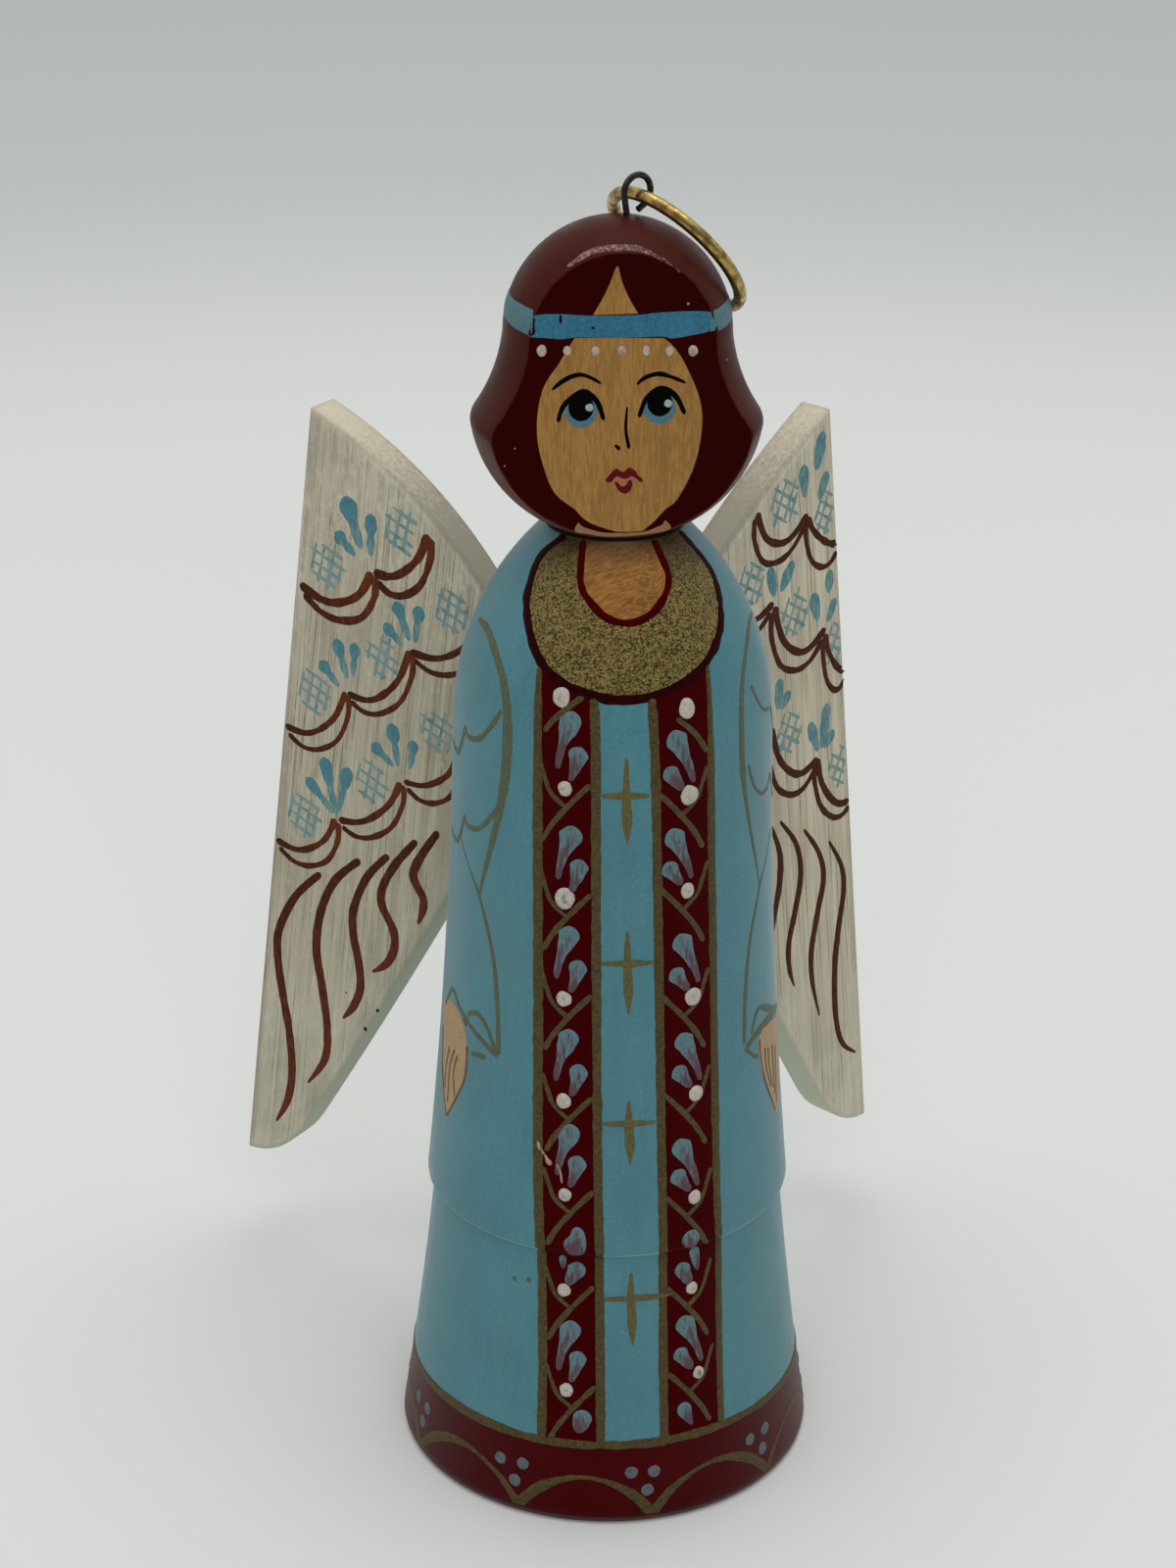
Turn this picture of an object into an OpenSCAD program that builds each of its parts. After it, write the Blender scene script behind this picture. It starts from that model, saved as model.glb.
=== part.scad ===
// Carved wooden angel ornament with flat wings and a brass hanging ring.
// The figure stands on the plane z = 0 and faces -Y. Left and right are as seen from the front.

/* [Body] */
// Diameter of the skirt at its foot
base_d = 38.6; // [34:0.1:44]
// Rounding of the edge round the foot
base_edge = 0.8; // [0.3:0.1:2]
// Diameter of the skirt where it meets the robe
skirt_top_d = 32.1; // [28:0.1:33]
// Radius of the slight hollow in the side of the skirt
skirt_hollow_r = 520; // [200:10:2000]
// Height of the robe's lower edge
robe_z = 26.6; // [15:0.1:40]
// Diameter of the robe at its lower edge
robe_d = 33.5; // [33.4:0.1:40]
// Rounding of the robe's lower edge
robe_edge = 0.6; // [0.2:0.1:0.6]
// Radius of the slight hollow in the side of the robe
robe_hollow_r = 560; // [200:10:2000]
// Diameter of the robe where the shoulders start
chest_d = 28.2; // [26:0.1:32]
// Height at which the shoulders start to round in
shoulder_z = 72; // [66:0.5:76]
// Height of the flat seat under the head
neck_z = 90.3; // [86:0.1:94]
// Diameter of the flat seat under the head
neck_d = 12.1; // [11:0.1:16]

/* [Head] */
// Radius of the dome
dome_r = 9.7; // [8.5:0.1:11]
// Height of the dome's centre above the neck seat
dome_up = 16.7; // [15:0.1:20]
// Diameter of the hair at its flared edge
flare_d = 25.1; // [22:0.1:30]
// Height of the flared edge above the neck seat
flare_up = 9.2; // [7:0.1:11]
// Rounding of the flared edge
flare_edge = 0.5; // [0.2:0.1:1]
// Radius of the hollow curve between the flared edge and the dome
nape_r = 15.5; // [8:0.1:30]
// Radius of the bowl-shaped underside
bowl_r = 11.4; // [9:0.1:20]
// Diameter of the flat that stands on the neck seat
head_foot_d = 10.6; // [8:0.1:12]
// Distance from the axis to the flat face, at the flared edge
face_back = 5.85; // [5:0.05:8]
// Backward lean of the flat face in degrees
face_lean = 1.3; // [0:0.1:5]
// Turn of the flat face to the right in degrees
face_turn = -3; // [-10:0.5:10]

/* [Neck dowel] */
// Diameter of the dowel
dowel_d = 5; // [3:0.5:7]
// Length of the dowel inside the body
dowel_in_body = 10; // [5:0.5:15]
// Length of the dowel inside the head
dowel_in_head = 8; // [4:0.5:10]
// Glue gap round the dowel
dowel_gap = 0.05; // [0.02:0.01:0.2]
// Spare depth at each end of the dowel's holes
dowel_end_gap = 0.5; // [0.2:0.1:2]

/* [Wings] */
// Thickness of the wing board
wing_t = 3.6; // [3:0.1:5]
// Backward sweep of each wing in degrees
wing_sweep = 39.6; // [30:0.2:48]
// Distance behind the axis at which the front faces of the two wings meet
wing_meet = 10.5; // [9:0.1:12]
// Height of the left wing's outer top corner
left_top_z = 91.8; // [86:0.1:100]
// Height of the right wing's outer top corner
right_top_z = 90.3; // [86:0.1:100]
// Reach of the outer top corner along the board
wing_top_reach = 32.2; // [26:0.1:40]
// Height of the lower end
wing_low_z = 9.3; // [3:0.1:20]
// Reach of the outer lower corner along the board
wing_low_reach = 42.9; // [42:0.1:50]
// Width of the lower end before its corner is rounded
wing_low_w = 4.6; // [3:0.1:8]
// Length taken by the rounding of the lower inner corner
wing_low_edge = 4.4; // [1:0.1:4.5]
// Radius of the left wing's upper inner edge
left_upper_r = 45; // [30:1:200]
// Radius of the right wing's upper inner edge
right_upper_r = 110; // [30:1:200]
// Radius of the lower inner edge
wing_lower_r = 900; // [60:10:2000]
// Reach at which both inner edges run into the tongue
tongue_reach = 9; // [8.5:0.1:14]
// Lower edge of the tongue that is glued to the body
tongue_z = 59.5; // [50:0.5:64]
// Height of the tongue
tongue_h = 12.5; // [10:0.5:18]
// Length of the fillets where the tongue joins the board
tongue_fillet = 5; // [2:0.5:6]
// Glue gap between the tongue and its groove
wing_gap = 0.05; // [0.02:0.01:0.2]
// Gap between the mitred ends of the two tongues
wing_mitre_gap = 0.2; // [0.1:0.05:0.5]

/* [Wire eye] */
// Offset of the eye from the axis, to the right
eye_x = 1.6; // [-3:0.1:3]
// Offset of the eye from the axis, to the back
eye_y = 0.8; // [-3:0.1:3]
// Thickness of the wire
eye_wire = 0.55; // [0.4:0.05:0.8]
// Clear diameter of the loop
eye_hole_d = 2.2; // [1.8:0.1:3]
// Height of the loop's centre above the dome
eye_rise = 2; // [1.9:0.05:3]
// Lean of the shank in degrees
shank_lean = 10; // [0:1:20]
// Depth of the shank in the head
shank_depth = 7; // [4:0.5:9]
// Angle of the loop's free end, from the horizontal
tail_angle = -60; // [-75:1:-45]
// Length of the straight free end
tail_len = 0.7; // [0.3:0.1:0.8]
// Gap round the shank in its hole
shank_gap = 0.03; // [0.01:0.01:0.1]

/* [Hanging ring] */
// Outer diameter of the ring
ring_d = 14.7; // [12:0.1:18]
// Thickness of the ring's wire
ring_wire = 1.1; // [0.8:0.05:1.3]
// Direction in which the ring lies back, from +X towards +Y, in degrees
ring_azimuth = 30; // [0:1:90]
// How far the ring's wire hangs below the centre of the loop
ring_drop = 0.25; // [0:0.05:0.3]
// Gap between the ring and the dome on which it lies
ring_gap = 0.12; // [0.04:0.02:0.5]

/* [Hidden] */
$fn = 96;
// Overshoot of a cut through a surface, and the size of a cut that takes all beyond a plane
cut = 1;
far = 60;
// Tilts of the ring between which its resting tilt is found, and how often they are halved
tilt_angle_low = -60;
tilt_angle_high = 80;
tilt_rounds = 24;

base_r = base_d / 2;
skirt_top_r = skirt_top_d / 2;
robe_r = robe_d / 2;
chest_r = chest_d / 2;
flare_r = flare_d / 2;
head_foot_r = head_foot_d / 2;
neck_r = neck_d / 2;
// The shoulder curve leaves the robe upright and ends at the rim of the neck seat
shoulder_in = chest_r - neck_r;
shoulder_h = neck_z - shoulder_z;
shoulder_r = (shoulder_in ^ 2 + shoulder_h ^ 2) / (2 * shoulder_in);
shoulder_turn = atan2(shoulder_h, shoulder_r - shoulder_in);
dome_z = neck_z + dome_up;
flare_z = neck_z + flare_up;

eye_r = (eye_hole_d + eye_wire) / 2;
dome_at_eye = dome_z + sqrt(dome_r ^ 2 - eye_x ^ 2 - eye_y ^ 2);
eye_centre = [eye_x, eye_y, dome_at_eye + eye_rise];
ring_r = (ring_d - ring_wire) / 2;
ring_pivot = eye_centre - [0, 0, ring_drop];

// Lists of points along a curve
function tail_of(list) = [for (i = [1 : len(list) - 1]) list[i]];
function reversed(list) = [for (i = [len(list) - 1 : -1 : 0]) list[i]];
// Part of a circle about c, from angle a0 to angle a1
function turn(c, r, a0, a1, n) =
    [for (i = [0 : n]) let (a = a0 + (a1 - a0) * i / n) c + r * [cos(a), sin(a)]];
// Arc of radius r from a to b that bulges to the right of the way from a to b
function arc(a, b, r, n) =
    let (half = norm(b - a) / 2,
         left = [a.y - b.y, b.x - a.x] / (2 * half),
         c = (a + b) / 2 + left * sqrt(r ^ 2 - half ^ 2),
         a0 = atan2(a.y - c.y, a.x - c.x))
    turn(c, r, a0, a0 + 2 * asin(half / r), n);
function hollow(a, b, r, n) = reversed(arc(b, a, r, n));
// Rounded corner from a to c with its point at b
function bend(a, b, c, n) =
    [for (i = [0 : n]) let (t = i / n) (1 - t) ^ 2 * a + 2 * t * (1 - t) * b + t ^ 2 * c];

body_profile = concat(
    [[0, 0]],
    bend([base_r - base_edge, 0], [base_r, 0], [base_r, base_edge], 4),
    tail_of(hollow([base_r, base_edge], [skirt_top_r, robe_z], skirt_hollow_r, 8)),
    bend([robe_r - robe_edge, robe_z], [robe_r, robe_z], [robe_r, robe_z + robe_edge], 4),
    tail_of(hollow([robe_r, robe_z + robe_edge], [chest_r, shoulder_z], robe_hollow_r, 12)),
    tail_of(turn([chest_r - shoulder_r, shoulder_z], shoulder_r, 0, shoulder_turn, 16)),
    [[0, neck_z]]);

// The bowl and the nape both end one rounding short of the flared edge
flare_low = [flare_r - flare_edge / 4, flare_z - flare_edge];
flare_high = [flare_r - flare_edge / 2, flare_z + flare_edge];
head_profile = concat(
    [[0, neck_z]],
    arc([head_foot_r, neck_z], flare_low, bowl_r, 14),
    tail_of(bend(flare_low, [flare_r, flare_z], flare_high, 4)),
    tail_of(hollow(flare_high, [dome_r, dome_z], nape_r, 10)),
    tail_of(turn([0, dome_z], dome_r, 0, 90, 24)));

// Outline of a wing board: reach along the board from the figure's middle, and height
function away_from(list, p, distance) = [for (q = list) if (norm(q - p) > distance) q];
function last(list) = list[len(list) - 1];
tongue_top_z = tongue_z + tongue_h;
tongue_start = -wing_t;
tongue_low = [tongue_reach, tongue_z];
tongue_high = [tongue_reach, tongue_top_z];
low_corner = [wing_low_reach - wing_low_w, wing_low_z];
lower_edge = away_from(away_from(arc(tongue_low, low_corner, wing_lower_r, 40),
                                 low_corner, wing_low_edge), tongue_low, tongue_fillet);
// The two boards were cut by hand, and their upper edges differ
function wing_outline(top_z, upper_r) =
    let (upper_edge = away_from(arc([wing_top_reach, top_z], tongue_high, upper_r, 30),
                                tongue_high, tongue_fillet))
    concat(
        [[tongue_start, tongue_z]],
        bend(tongue_low - [tongue_fillet, 0], tongue_low, lower_edge[0], 6),
        tail_of(lower_edge),
        tail_of(bend(last(lower_edge), low_corner, low_corner + [wing_low_edge, 0], 8)),
        [[wing_low_reach, wing_low_z]],
        upper_edge,
        tail_of(bend(last(upper_edge), tongue_high, tongue_high - [tongue_fillet, 0], 6)),
        [[tongue_start, tongue_top_z]]);

// Points of the ring's centre line when it lies back at a tilt below the horizontal
function ring_point(tilt, a) =
    let (out = ring_r * (1 - cos(a)), side = ring_r * sin(a), level = out * cos(tilt))
    ring_pivot + [level * cos(ring_azimuth) - side * sin(ring_azimuth),
                  level * sin(ring_azimuth) + side * cos(ring_azimuth),
                  -out * sin(tilt)];
function head_gap(p) =
    p.z > dome_z ? norm(p - [0, 0, dome_z]) - dome_r : norm([p.x, p.y]) - dome_r;
function ring_room(tilt) =
    min([for (a = [30 : 5 : 330]) head_gap(ring_point(tilt, a))]) - ring_wire / 2;
// The ring drops back until it lies on the dome: the steepest tilt that keeps the gap
function lying_tilt(low, high, rounds) =
    let (middle = (low + high) / 2)
    rounds <= 0 ? low
    : ring_room(middle) > ring_gap ? lying_tilt(middle, high, rounds - 1)
    : lying_tilt(low, middle, rounds - 1);
ring_tilt = lying_tilt(tilt_angle_low, tilt_angle_high, tilt_rounds);

// Turned robe and skirt, with the dowel's hole in its top and the wings' groove in its back
module body() {
    color("skyblue")
    difference() {
        rotate_extrude() polygon(body_profile);
        dowel_hole(-1, dowel_in_body);
        wing_groove();
        mirror([1, 0, 0]) wing_groove();
    }
}

// Turned head with its bell of hair, cut flat in front for the face
module head() {
    color("brown")
    difference() {
        rotate_extrude() polygon(head_profile);
        face_cut();
        dowel_hole(1, dowel_in_head);
        at_eye() shank(eye_wire + 2 * shank_gap, shank_gap);
    }
}

module face_cut() {
    rotate([0, 0, face_turn])
        translate([0, -face_back, flare_z])
        rotate([-face_lean, 0, 0])
        translate([-far, -far, -far])
        cube([2 * far, far, 2 * far]);
}

// Hole for the dowel from the neck seat, down (side -1) or up (side 1)
module dowel_hole(side, depth) {
    reach = depth + dowel_end_gap;
    translate([0, 0, side < 0 ? neck_z - reach : neck_z - cut])
        cylinder(d = dowel_d + 2 * dowel_gap, h = reach + cut);
}

module neck_dowel() {
    color("burlywood")
    translate([0, 0, neck_z - dowel_in_body])
        cylinder(d = dowel_d, h = dowel_in_body + dowel_in_head);
}

// Places a shape in the plane of the right wing's front face: x along the board, y to the back
module at_wing() {
    translate([0, wing_meet, 0]) rotate([0, 0, wing_sweep]) children();
}

module wing_groove() {
    at_wing()
        translate([0, -wing_gap, tongue_z - wing_gap])
        cube([far, far, tongue_h + 2 * wing_gap]);
}

module wing(outline) {
    color("antiquewhite")
    intersection() {
        at_wing()
            translate([0, wing_t, 0])
            rotate([90, 0, 0])
            linear_extrude(wing_t) polygon(outline);
        translate([wing_mitre_gap / 2, -2 * far, -far]) cube([2 * far, 4 * far, 4 * far]);
    }
}

module right_wing() {
    wing(wing_outline(right_top_z, right_upper_r));
}

module left_wing() {
    mirror([1, 0, 0]) wing(wing_outline(left_top_z, left_upper_r));
}

// Places a shape drawn in the plane of the wire loop: x towards the lying ring, y up
module at_eye() {
    translate(eye_centre) rotate([0, 0, ring_azimuth]) rotate([90, 0, 0]) children();
}

// Straight wire that leaves the loop at an angle and runs down at a lean
module straight_wire(leave, lean, d, length) {
    translate(eye_r * [cos(leave), sin(leave), 0])
        rotate([0, 0, lean])
        rotate([90, 0, 0])
        cylinder(d = d, h = length);
}

module shank(d, end_gap) {
    straight_wire(180 + shank_lean, shank_lean, d, eye_rise + shank_depth + end_gap);
}

// Wire bent to an open loop, its shank pushed into the head and its free end under the ring
module wire_eye() {
    color("black")
    at_eye() {
        difference() {
            rotate_extrude() translate([eye_r, 0]) circle(d = eye_wire);
            loop_opening();
        }
        shank(eye_wire, 0);
        straight_wire(tail_angle, tail_angle, eye_wire, tail_len);
    }
}

// Wedge of the loop between its shank and its free end, where there is no wire
module loop_opening() {
    from = 180 + shank_lean;
    to = 360 + tail_angle;
    reach = 2 * eye_hole_d;
    linear_extrude(2 * eye_wire, center = true)
        polygon([[0, 0],
                 for (a = [from, (from + to) / 2, to]) reach * [cos(a), sin(a)]]);
}

// Plain ring through the eye, lying back on the dome
module hanging_ring() {
    color("goldenrod")
    translate(ring_pivot)
        rotate([0, ring_tilt, ring_azimuth])
        translate([ring_r, 0, 0])
        rotate_extrude() translate([ring_r, 0]) circle(d = ring_wire);
}

body();
head();
neck_dowel();
left_wing();
right_wing();
wire_eye();
hanging_ring();
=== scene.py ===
# Looks of the carved wooden angel ornament: painted coats, brush strokes, stage, light and camera.
import math

import bmesh
import bpy
from mathutils import Matrix, Vector, noise
from mathutils.bvhtree import BVHTree
from mathutils.geometry import delaunay_2d_cdt


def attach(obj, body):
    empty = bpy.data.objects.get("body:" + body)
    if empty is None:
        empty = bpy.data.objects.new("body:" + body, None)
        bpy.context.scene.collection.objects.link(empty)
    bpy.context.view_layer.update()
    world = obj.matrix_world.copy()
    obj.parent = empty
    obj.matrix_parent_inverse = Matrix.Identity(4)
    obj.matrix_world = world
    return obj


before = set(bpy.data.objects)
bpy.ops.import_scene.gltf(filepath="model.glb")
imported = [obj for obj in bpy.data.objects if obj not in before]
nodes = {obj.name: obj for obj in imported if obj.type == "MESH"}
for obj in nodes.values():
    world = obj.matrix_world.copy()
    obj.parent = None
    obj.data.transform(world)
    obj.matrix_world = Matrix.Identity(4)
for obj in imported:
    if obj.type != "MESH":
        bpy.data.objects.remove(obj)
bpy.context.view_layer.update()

MM = 0.001
# Sizes of the solids that the looks refer to, in mm and degrees
WING_MEET = 10.5
WING_SWEEP = 39.6
WING_LEAN = 7.4
HEM_Z = 7.9
LIP_Z = 26.6
NECK_Z = 90.3
# Heights above which painted shade of the head darkens the collar and the throat, and below which the
# body's foot is burgundy
COLLAR_SHADE_Z = 86.6
THROAT_SHADE_Z = 88.2
FOOT_PAINT_Z = 4
# How deep the hidden rims of the paint go below the surface
SUNK = 0.02
# How far out the rays start that find the surfaces, from the figure's axis and from a wing's board
AWAY = 60
BOARD_AWAY = 20
# How far a ray looks for the surface beside the middle of a stroke or dot
REACH = 3
# Cosine of the angle within which a surface counts as flat
FLAT = 0.9995
SIDES = {-1: "left", 1: "right"}


def put(name, data):
    """New object in the scene."""
    thing = bpy.data.objects.new(name, data)
    bpy.context.scene.collection.objects.link(thing)
    return thing


def srgb(r, g, b):
    """Linear colour of an sRGB colour given as 0 to 255."""
    def one(c):
        c /= 255
        return c / 12.92 if c <= 0.04045 else ((c + 0.055) / 1.055) ** 2.4
    return (one(r), one(g), one(b), 1)


def shade(colour, k):
    return tuple(min(1, c * k) for c in colour[:3]) + (1,)


# Colours as they are written on the surfaces
BLUE = srgb(60, 115, 126)
BLUE_WARM = srgb(73, 116, 119)
BAND_BLUE = srgb(46, 100, 124)
BAND_SIDE = srgb(72, 110, 116)
MAROON = srgb(42, 5, 5)
HAIR = srgb(63, 26, 20)
HAIR_FLOOR_REFLECTION = srgb(86, 62, 56)
HAIR_GLINT_AND_WEAR = srgb(150, 112, 104)
BURGUNDY = srgb(55, 2, 4)
DARK_RED = srgb(34, 4, 6)
GOLD = srgb(106, 92, 50)
OLIVE = srgb(72, 61, 31)
CROSS_GOLD = srgb(88, 83, 48)
SLEEVE_GREEN = srgb(76, 86, 66)
WOOD = srgb(155, 115, 59)
WOOD_DARK = srgb(131, 94, 46)
THROAT_WOOD = srgb(150, 104, 47)
THROAT_DARK = srgb(106, 69, 29)
CHIN = srgb(136, 102, 70)
WHITE = srgb(172, 166, 156)
BROW_WHITE = srgb(168, 156, 140)
HOLLOW = srgb(112, 104, 104)
WASH = srgb(174, 168, 147)
WASH_DARK = srgb(148, 141, 122)
GRAIN = srgb(100, 96, 80)
CREAM = srgb(196, 188, 164)
CHALK = srgb(212, 207, 190)
EDGE_GREEN = srgb(170, 175, 155)
EDGE_DULL = srgb(142, 137, 120)
BROWN = srgb(64, 31, 19)
RED_BROWN = srgb(94, 46, 25)
TEAL = srgb(68, 118, 128)
TEAL_WASH = srgb(116, 143, 140)
SKIN = srgb(160, 134, 96)
SKIN_LINE = srgb(92, 70, 52)
PALE_BLUE = srgb(84, 112, 118)
MAUVE = srgb(80, 60, 68)
HEM_DOT = srgb(84, 92, 96)
BLACK = srgb(3, 3, 4)
EYE_LIGHT = srgb(140, 158, 152)
LIP_RED = srgb(80, 6, 9)
LIP_PINK = srgb(146, 84, 68)
NECK_SHADE = srgb(44, 28, 18)
IRIS = srgb(70, 106, 120)
CHIP = srgb(156, 132, 118)
LIP_HIGHLIGHT = srgb(136, 172, 180)
BRASS = srgb(192, 165, 98)
BRASS_DARK = srgb(128, 104, 58)
WIRE_BLACK = srgb(16, 16, 13)
WIRE_WORN = srgb(66, 63, 53)


class Nodes:
    """A node tree: helpers add nodes and hand back their output sockets."""

    def __init__(self, tree):
        self.tree = tree

    def add(self, kind, **settings):
        node = self.tree.nodes.new(kind)
        for key, value in settings.items():
            setattr(node, key, value)
        return node

    def feed(self, socket, value):
        """Links an output socket to an input, or sets the input's own value."""
        if isinstance(value, bpy.types.NodeSocket):
            self.tree.links.new(value, socket)
        else:
            socket.default_value = value

    def fed(self, kind, inputs, **settings):
        """New node with these inputs, by name or number."""
        node = self.add(kind, **settings)
        for key, value in inputs.items():
            self.feed(node.inputs[key], value)
        return node

    def span(self, value, low, high, to_low=0, to_high=1):
        """Maps low..high smoothly to to_low..to_high."""
        inputs = {"Value": value, "From Min": low, "From Max": high, "To Min": to_low, "To Max": to_high}
        return self.fed("ShaderNodeMapRange", inputs, interpolation_type="SMOOTHSTEP").outputs["Result"]

    def math(self, operation, a, b=0):
        return self.fed("ShaderNodeMath", {0: a, 1: b}, operation=operation).outputs["Value"]

    def blend(self, *shares):
        """Sum of (socket, weight) pairs."""
        total = None
        for value, weight in shares:
            part = self.math("MULTIPLY", value, weight)
            total = part if total is None else self.math("ADD", total, part)
        return total

    def mix(self, factor, a, b):
        inputs = {"Factor": factor, "A": a, "B": b}
        return self.fed("ShaderNodeMix", inputs, data_type="RGBA").outputs["Result"]

    def axis(self, place, letter):
        return self.fed("ShaderNodeSeparateXYZ", {"Vector": place}).outputs[letter]


class Look(Nodes):
    """One material. gloss is the level of its facing reflection, 0.5 for a varnish, and tint its colour."""

    def __init__(self, name, roughness, gloss=0.5, tint=(1, 1, 1), metallic=0):
        self.material = bpy.data.materials.new(name)
        self.material.use_nodes = True
        super().__init__(self.material.node_tree)
        self.shader = self.tree.nodes["Principled BSDF"]
        self.set("Roughness", roughness).set("Metallic", metallic)
        self.set("Specular IOR Level", gloss).set("Specular Tint", (*tint, 1))
        self.object_place = self.add("ShaderNodeTexCoord").outputs["Object"]

    def set(self, socket, value):
        self.feed(self.shader.inputs[socket], value)
        return self

    def mapped(self, place, kind, numbers):
        return self.fed("ShaderNodeMapping", {kind: numbers, "Vector": place}).outputs["Vector"]

    def place(self, stretch=(1, 1, 1), turn=(0, 0, 0)):
        """Position in mm, turned by degrees and then stretched."""
        turned = self.object_place
        if any(turn):
            turned = self.mapped(turned, "Rotation", [math.radians(a) for a in turn])
        return self.mapped(turned, "Scale", [s / MM for s in stretch])

    def noise(self, scale, detail=3, rough=0.55, stretch=(1, 1, 1), turn=(0, 0, 0)):
        inputs = {"Vector": self.place(stretch, turn), "Scale": scale, "Detail": detail, "Roughness": rough}
        return self.fed("ShaderNodeTexNoise", inputs).outputs["Fac"]

    def cells(self, scale):
        return self.fed("ShaderNodeTexVoronoi", {"Vector": self.place(), "Scale": scale}).outputs["Color"]

    def height(self):
        """Height in mm above the floor."""
        return self.axis(self.place(), "Z")

    def upward(self):
        """How far the surface faces up, from -1 to 1."""
        return self.axis(self.add("ShaderNodeNewGeometry").outputs["Normal"], "Z")

    def stroke_place(self, name):
        """Place in a brush stroke from 0 to 1: its flow along it, or its rim from the middle out."""
        return self.add("ShaderNodeAttribute", attribute_name=name).outputs["Fac"]

    def neck_shaded(self, colour, low):
        """Colour darkened by painted shade of the head, from that height up to the joint of the neck, where
        a height is given.
        """
        if low is None:
            return colour
        return self.mix(self.span(self.height(), low, NECK_Z, 0, 0.75), colour, NECK_SHADE)

    def finish(self, colour, height, depth, rough=None, normal=None):
        """Sets the colour, a bump of that depth in mm and a span of roughness, and gives the material."""
        self.set("Base Color", colour)
        if rough:
            self.set("Roughness", self.span(height, *rough))
        inputs = {"Strength": 1, "Distance": depth * MM, "Height": height}
        if normal:
            inputs["Normal"] = normal
        self.set("Normal", self.fed("ShaderNodeBump", inputs).outputs["Normal"])
        return self.material


def coat_of_paint(look, colour, streak=(1.6, 1.6, 0.12), vary=0.1):
    """Colour and height of a brushed coat: cloudy thickness, brush streaks and fine specks."""
    cloud = look.noise(0.16, 2)
    brush = look.noise(1, stretch=streak)
    speck = look.noise(3.6, rough=0.7)
    tone = look.span(look.blend((cloud, 0.25), (brush, 0.2), (speck, 0.55)), 0.36, 0.64)
    painted = look.mix(tone, shade(colour, 1 - vary), shade(colour, 1 + vary))
    return painted, look.blend((brush, 1), (speck, 0.5))


def paint(name, colour, roughness=0.45, vary=0.1, depth=0.012, gloss=0.3, tint=(1, 1, 1)):
    look = Look(name, roughness, gloss, tint)
    painted, height = coat_of_paint(look, colour, vary=vary)
    return look.finish(painted, height, depth, (0.5, 1.1, roughness - 0.05, roughness + 0.05))


def wood(name, light, dark, turn=(0, 0, 0), shade_from=None):
    """Bare fine-grained wood, its grain along Z before the turn, darkened by painted shade above a height
    if one is given.
    """
    look = Look(name, 0.55, 0.2)
    fine = look.noise(1, rough=0.6, stretch=(5, 5, 0.7), turn=turn)
    broad = look.noise(1, 2, stretch=(0.6, 0.6, 0.08), turn=turn)
    pores = look.noise(1, 2, stretch=(9, 9, 1.4), turn=turn)
    colour = look.mix(look.span(look.blend((fine, 0.75), (broad, 0.25)), 0.36, 0.64), dark, light)
    colour = look.mix(look.span(pores, 0.56, 0.72, 0, 0.45), colour, shade(dark, 0.75))
    return look.finish(look.neck_shaded(colour, shade_from), fine, 0.01)


def robe_look():
    """Blue robe and skirt, a dark joint at the neck that is painted shade under the chin, bare foot, and a
    painted highlight along the robe's lower edge, broken in blotches.
    """
    look = Look("painted_robe", 0.42)
    look.set("Sheen Weight", 0.12).set("Sheen Roughness", 0.25)
    blue, height = coat_of_paint(look, BLUE, (1.2, 1.2, 0.1), 0.14)
    warm = look.noise(0.07, 2, stretch=(1, 1, 0.5))
    blue = look.mix(look.span(warm, 0.5, 0.75, 0, 0.4), blue, BLUE_WARM)
    fleck = look.span(look.noise(1.7, 2), 0.68, 0.74, 0, 0.35)
    blue = look.mix(fleck, blue, shade(BLUE, 0.55))
    z = look.height()
    # A painted highlight along the rounded lip of the robe's lower edge, broken in blotches.
    below, above = look.span(z, LIP_Z - 0.1, LIP_Z), look.span(z, LIP_Z + 0.4, LIP_Z + 0.15)
    edge = look.math("MULTIPLY", below, above)
    blotches = look.span(look.noise(1, 4, 0.7, (0.5, 0.5, 0.5)), 0.35, 0.65, 0.35, 0.95)
    colour = look.mix(look.math("MULTIPLY", edge, blotches), blue, LIP_HIGHLIGHT)
    # Painted shade under the chin: the top of the body at the neck joint is made dark.
    colour = look.mix(look.span(z, NECK_Z - 0.1, NECK_Z), colour, NECK_SHADE)
    colour = look.mix(look.span(z, FOOT_PAINT_Z - 0.2, FOOT_PAINT_Z), BURGUNDY, colour)
    colour = look.mix(look.span(z, 0, 0.02), WOOD_DARK, colour)
    return look.finish(colour, height, 0.012, (0.5, 1.1, 0.38, 0.5))


def hair_look():
    """Satin maroon coat with brush marks, a few pin-point chips, and a paler colour under the flare that is
    a painted reflection of the floor.
    """
    look = Look("painted_hair", 0.36, 0.04, (1, 0.5, 0.4))
    maroon, height = coat_of_paint(look, HAIR, (0.5, 0.5, 0.3), 0.16)
    chip = look.span(look.noise(1.1, 2), 0.77, 0.79)
    # Downward faces under the flare are paler: a painted reflection of the pale floor.
    maroon = look.mix(look.span(look.upward(), -0.06, -0.3, 0, 0.85), maroon, HAIR_FLOOR_REFLECTION)
    return look.finish(look.mix(chip, maroon, CHIP), height, 0.02, (0.5, 1.1, 0.3, 0.44))


def hem_look():
    """Burgundy coat that darkens towards the floor, as painted contact shade."""
    look = Look("hem_paint", 0.42, 0.35, (0.6, 0.08, 0.1))
    coat, height = coat_of_paint(look, BURGUNDY, vary=0.12)
    # Painted shade: the coat darkens over its lowest mm, where it meets the floor.
    colour = look.mix(look.span(look.height(), 0.1, 1.2), shade(BURGUNDY, 0.35), coat)
    return look.finish(colour, height, 0.012)


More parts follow.
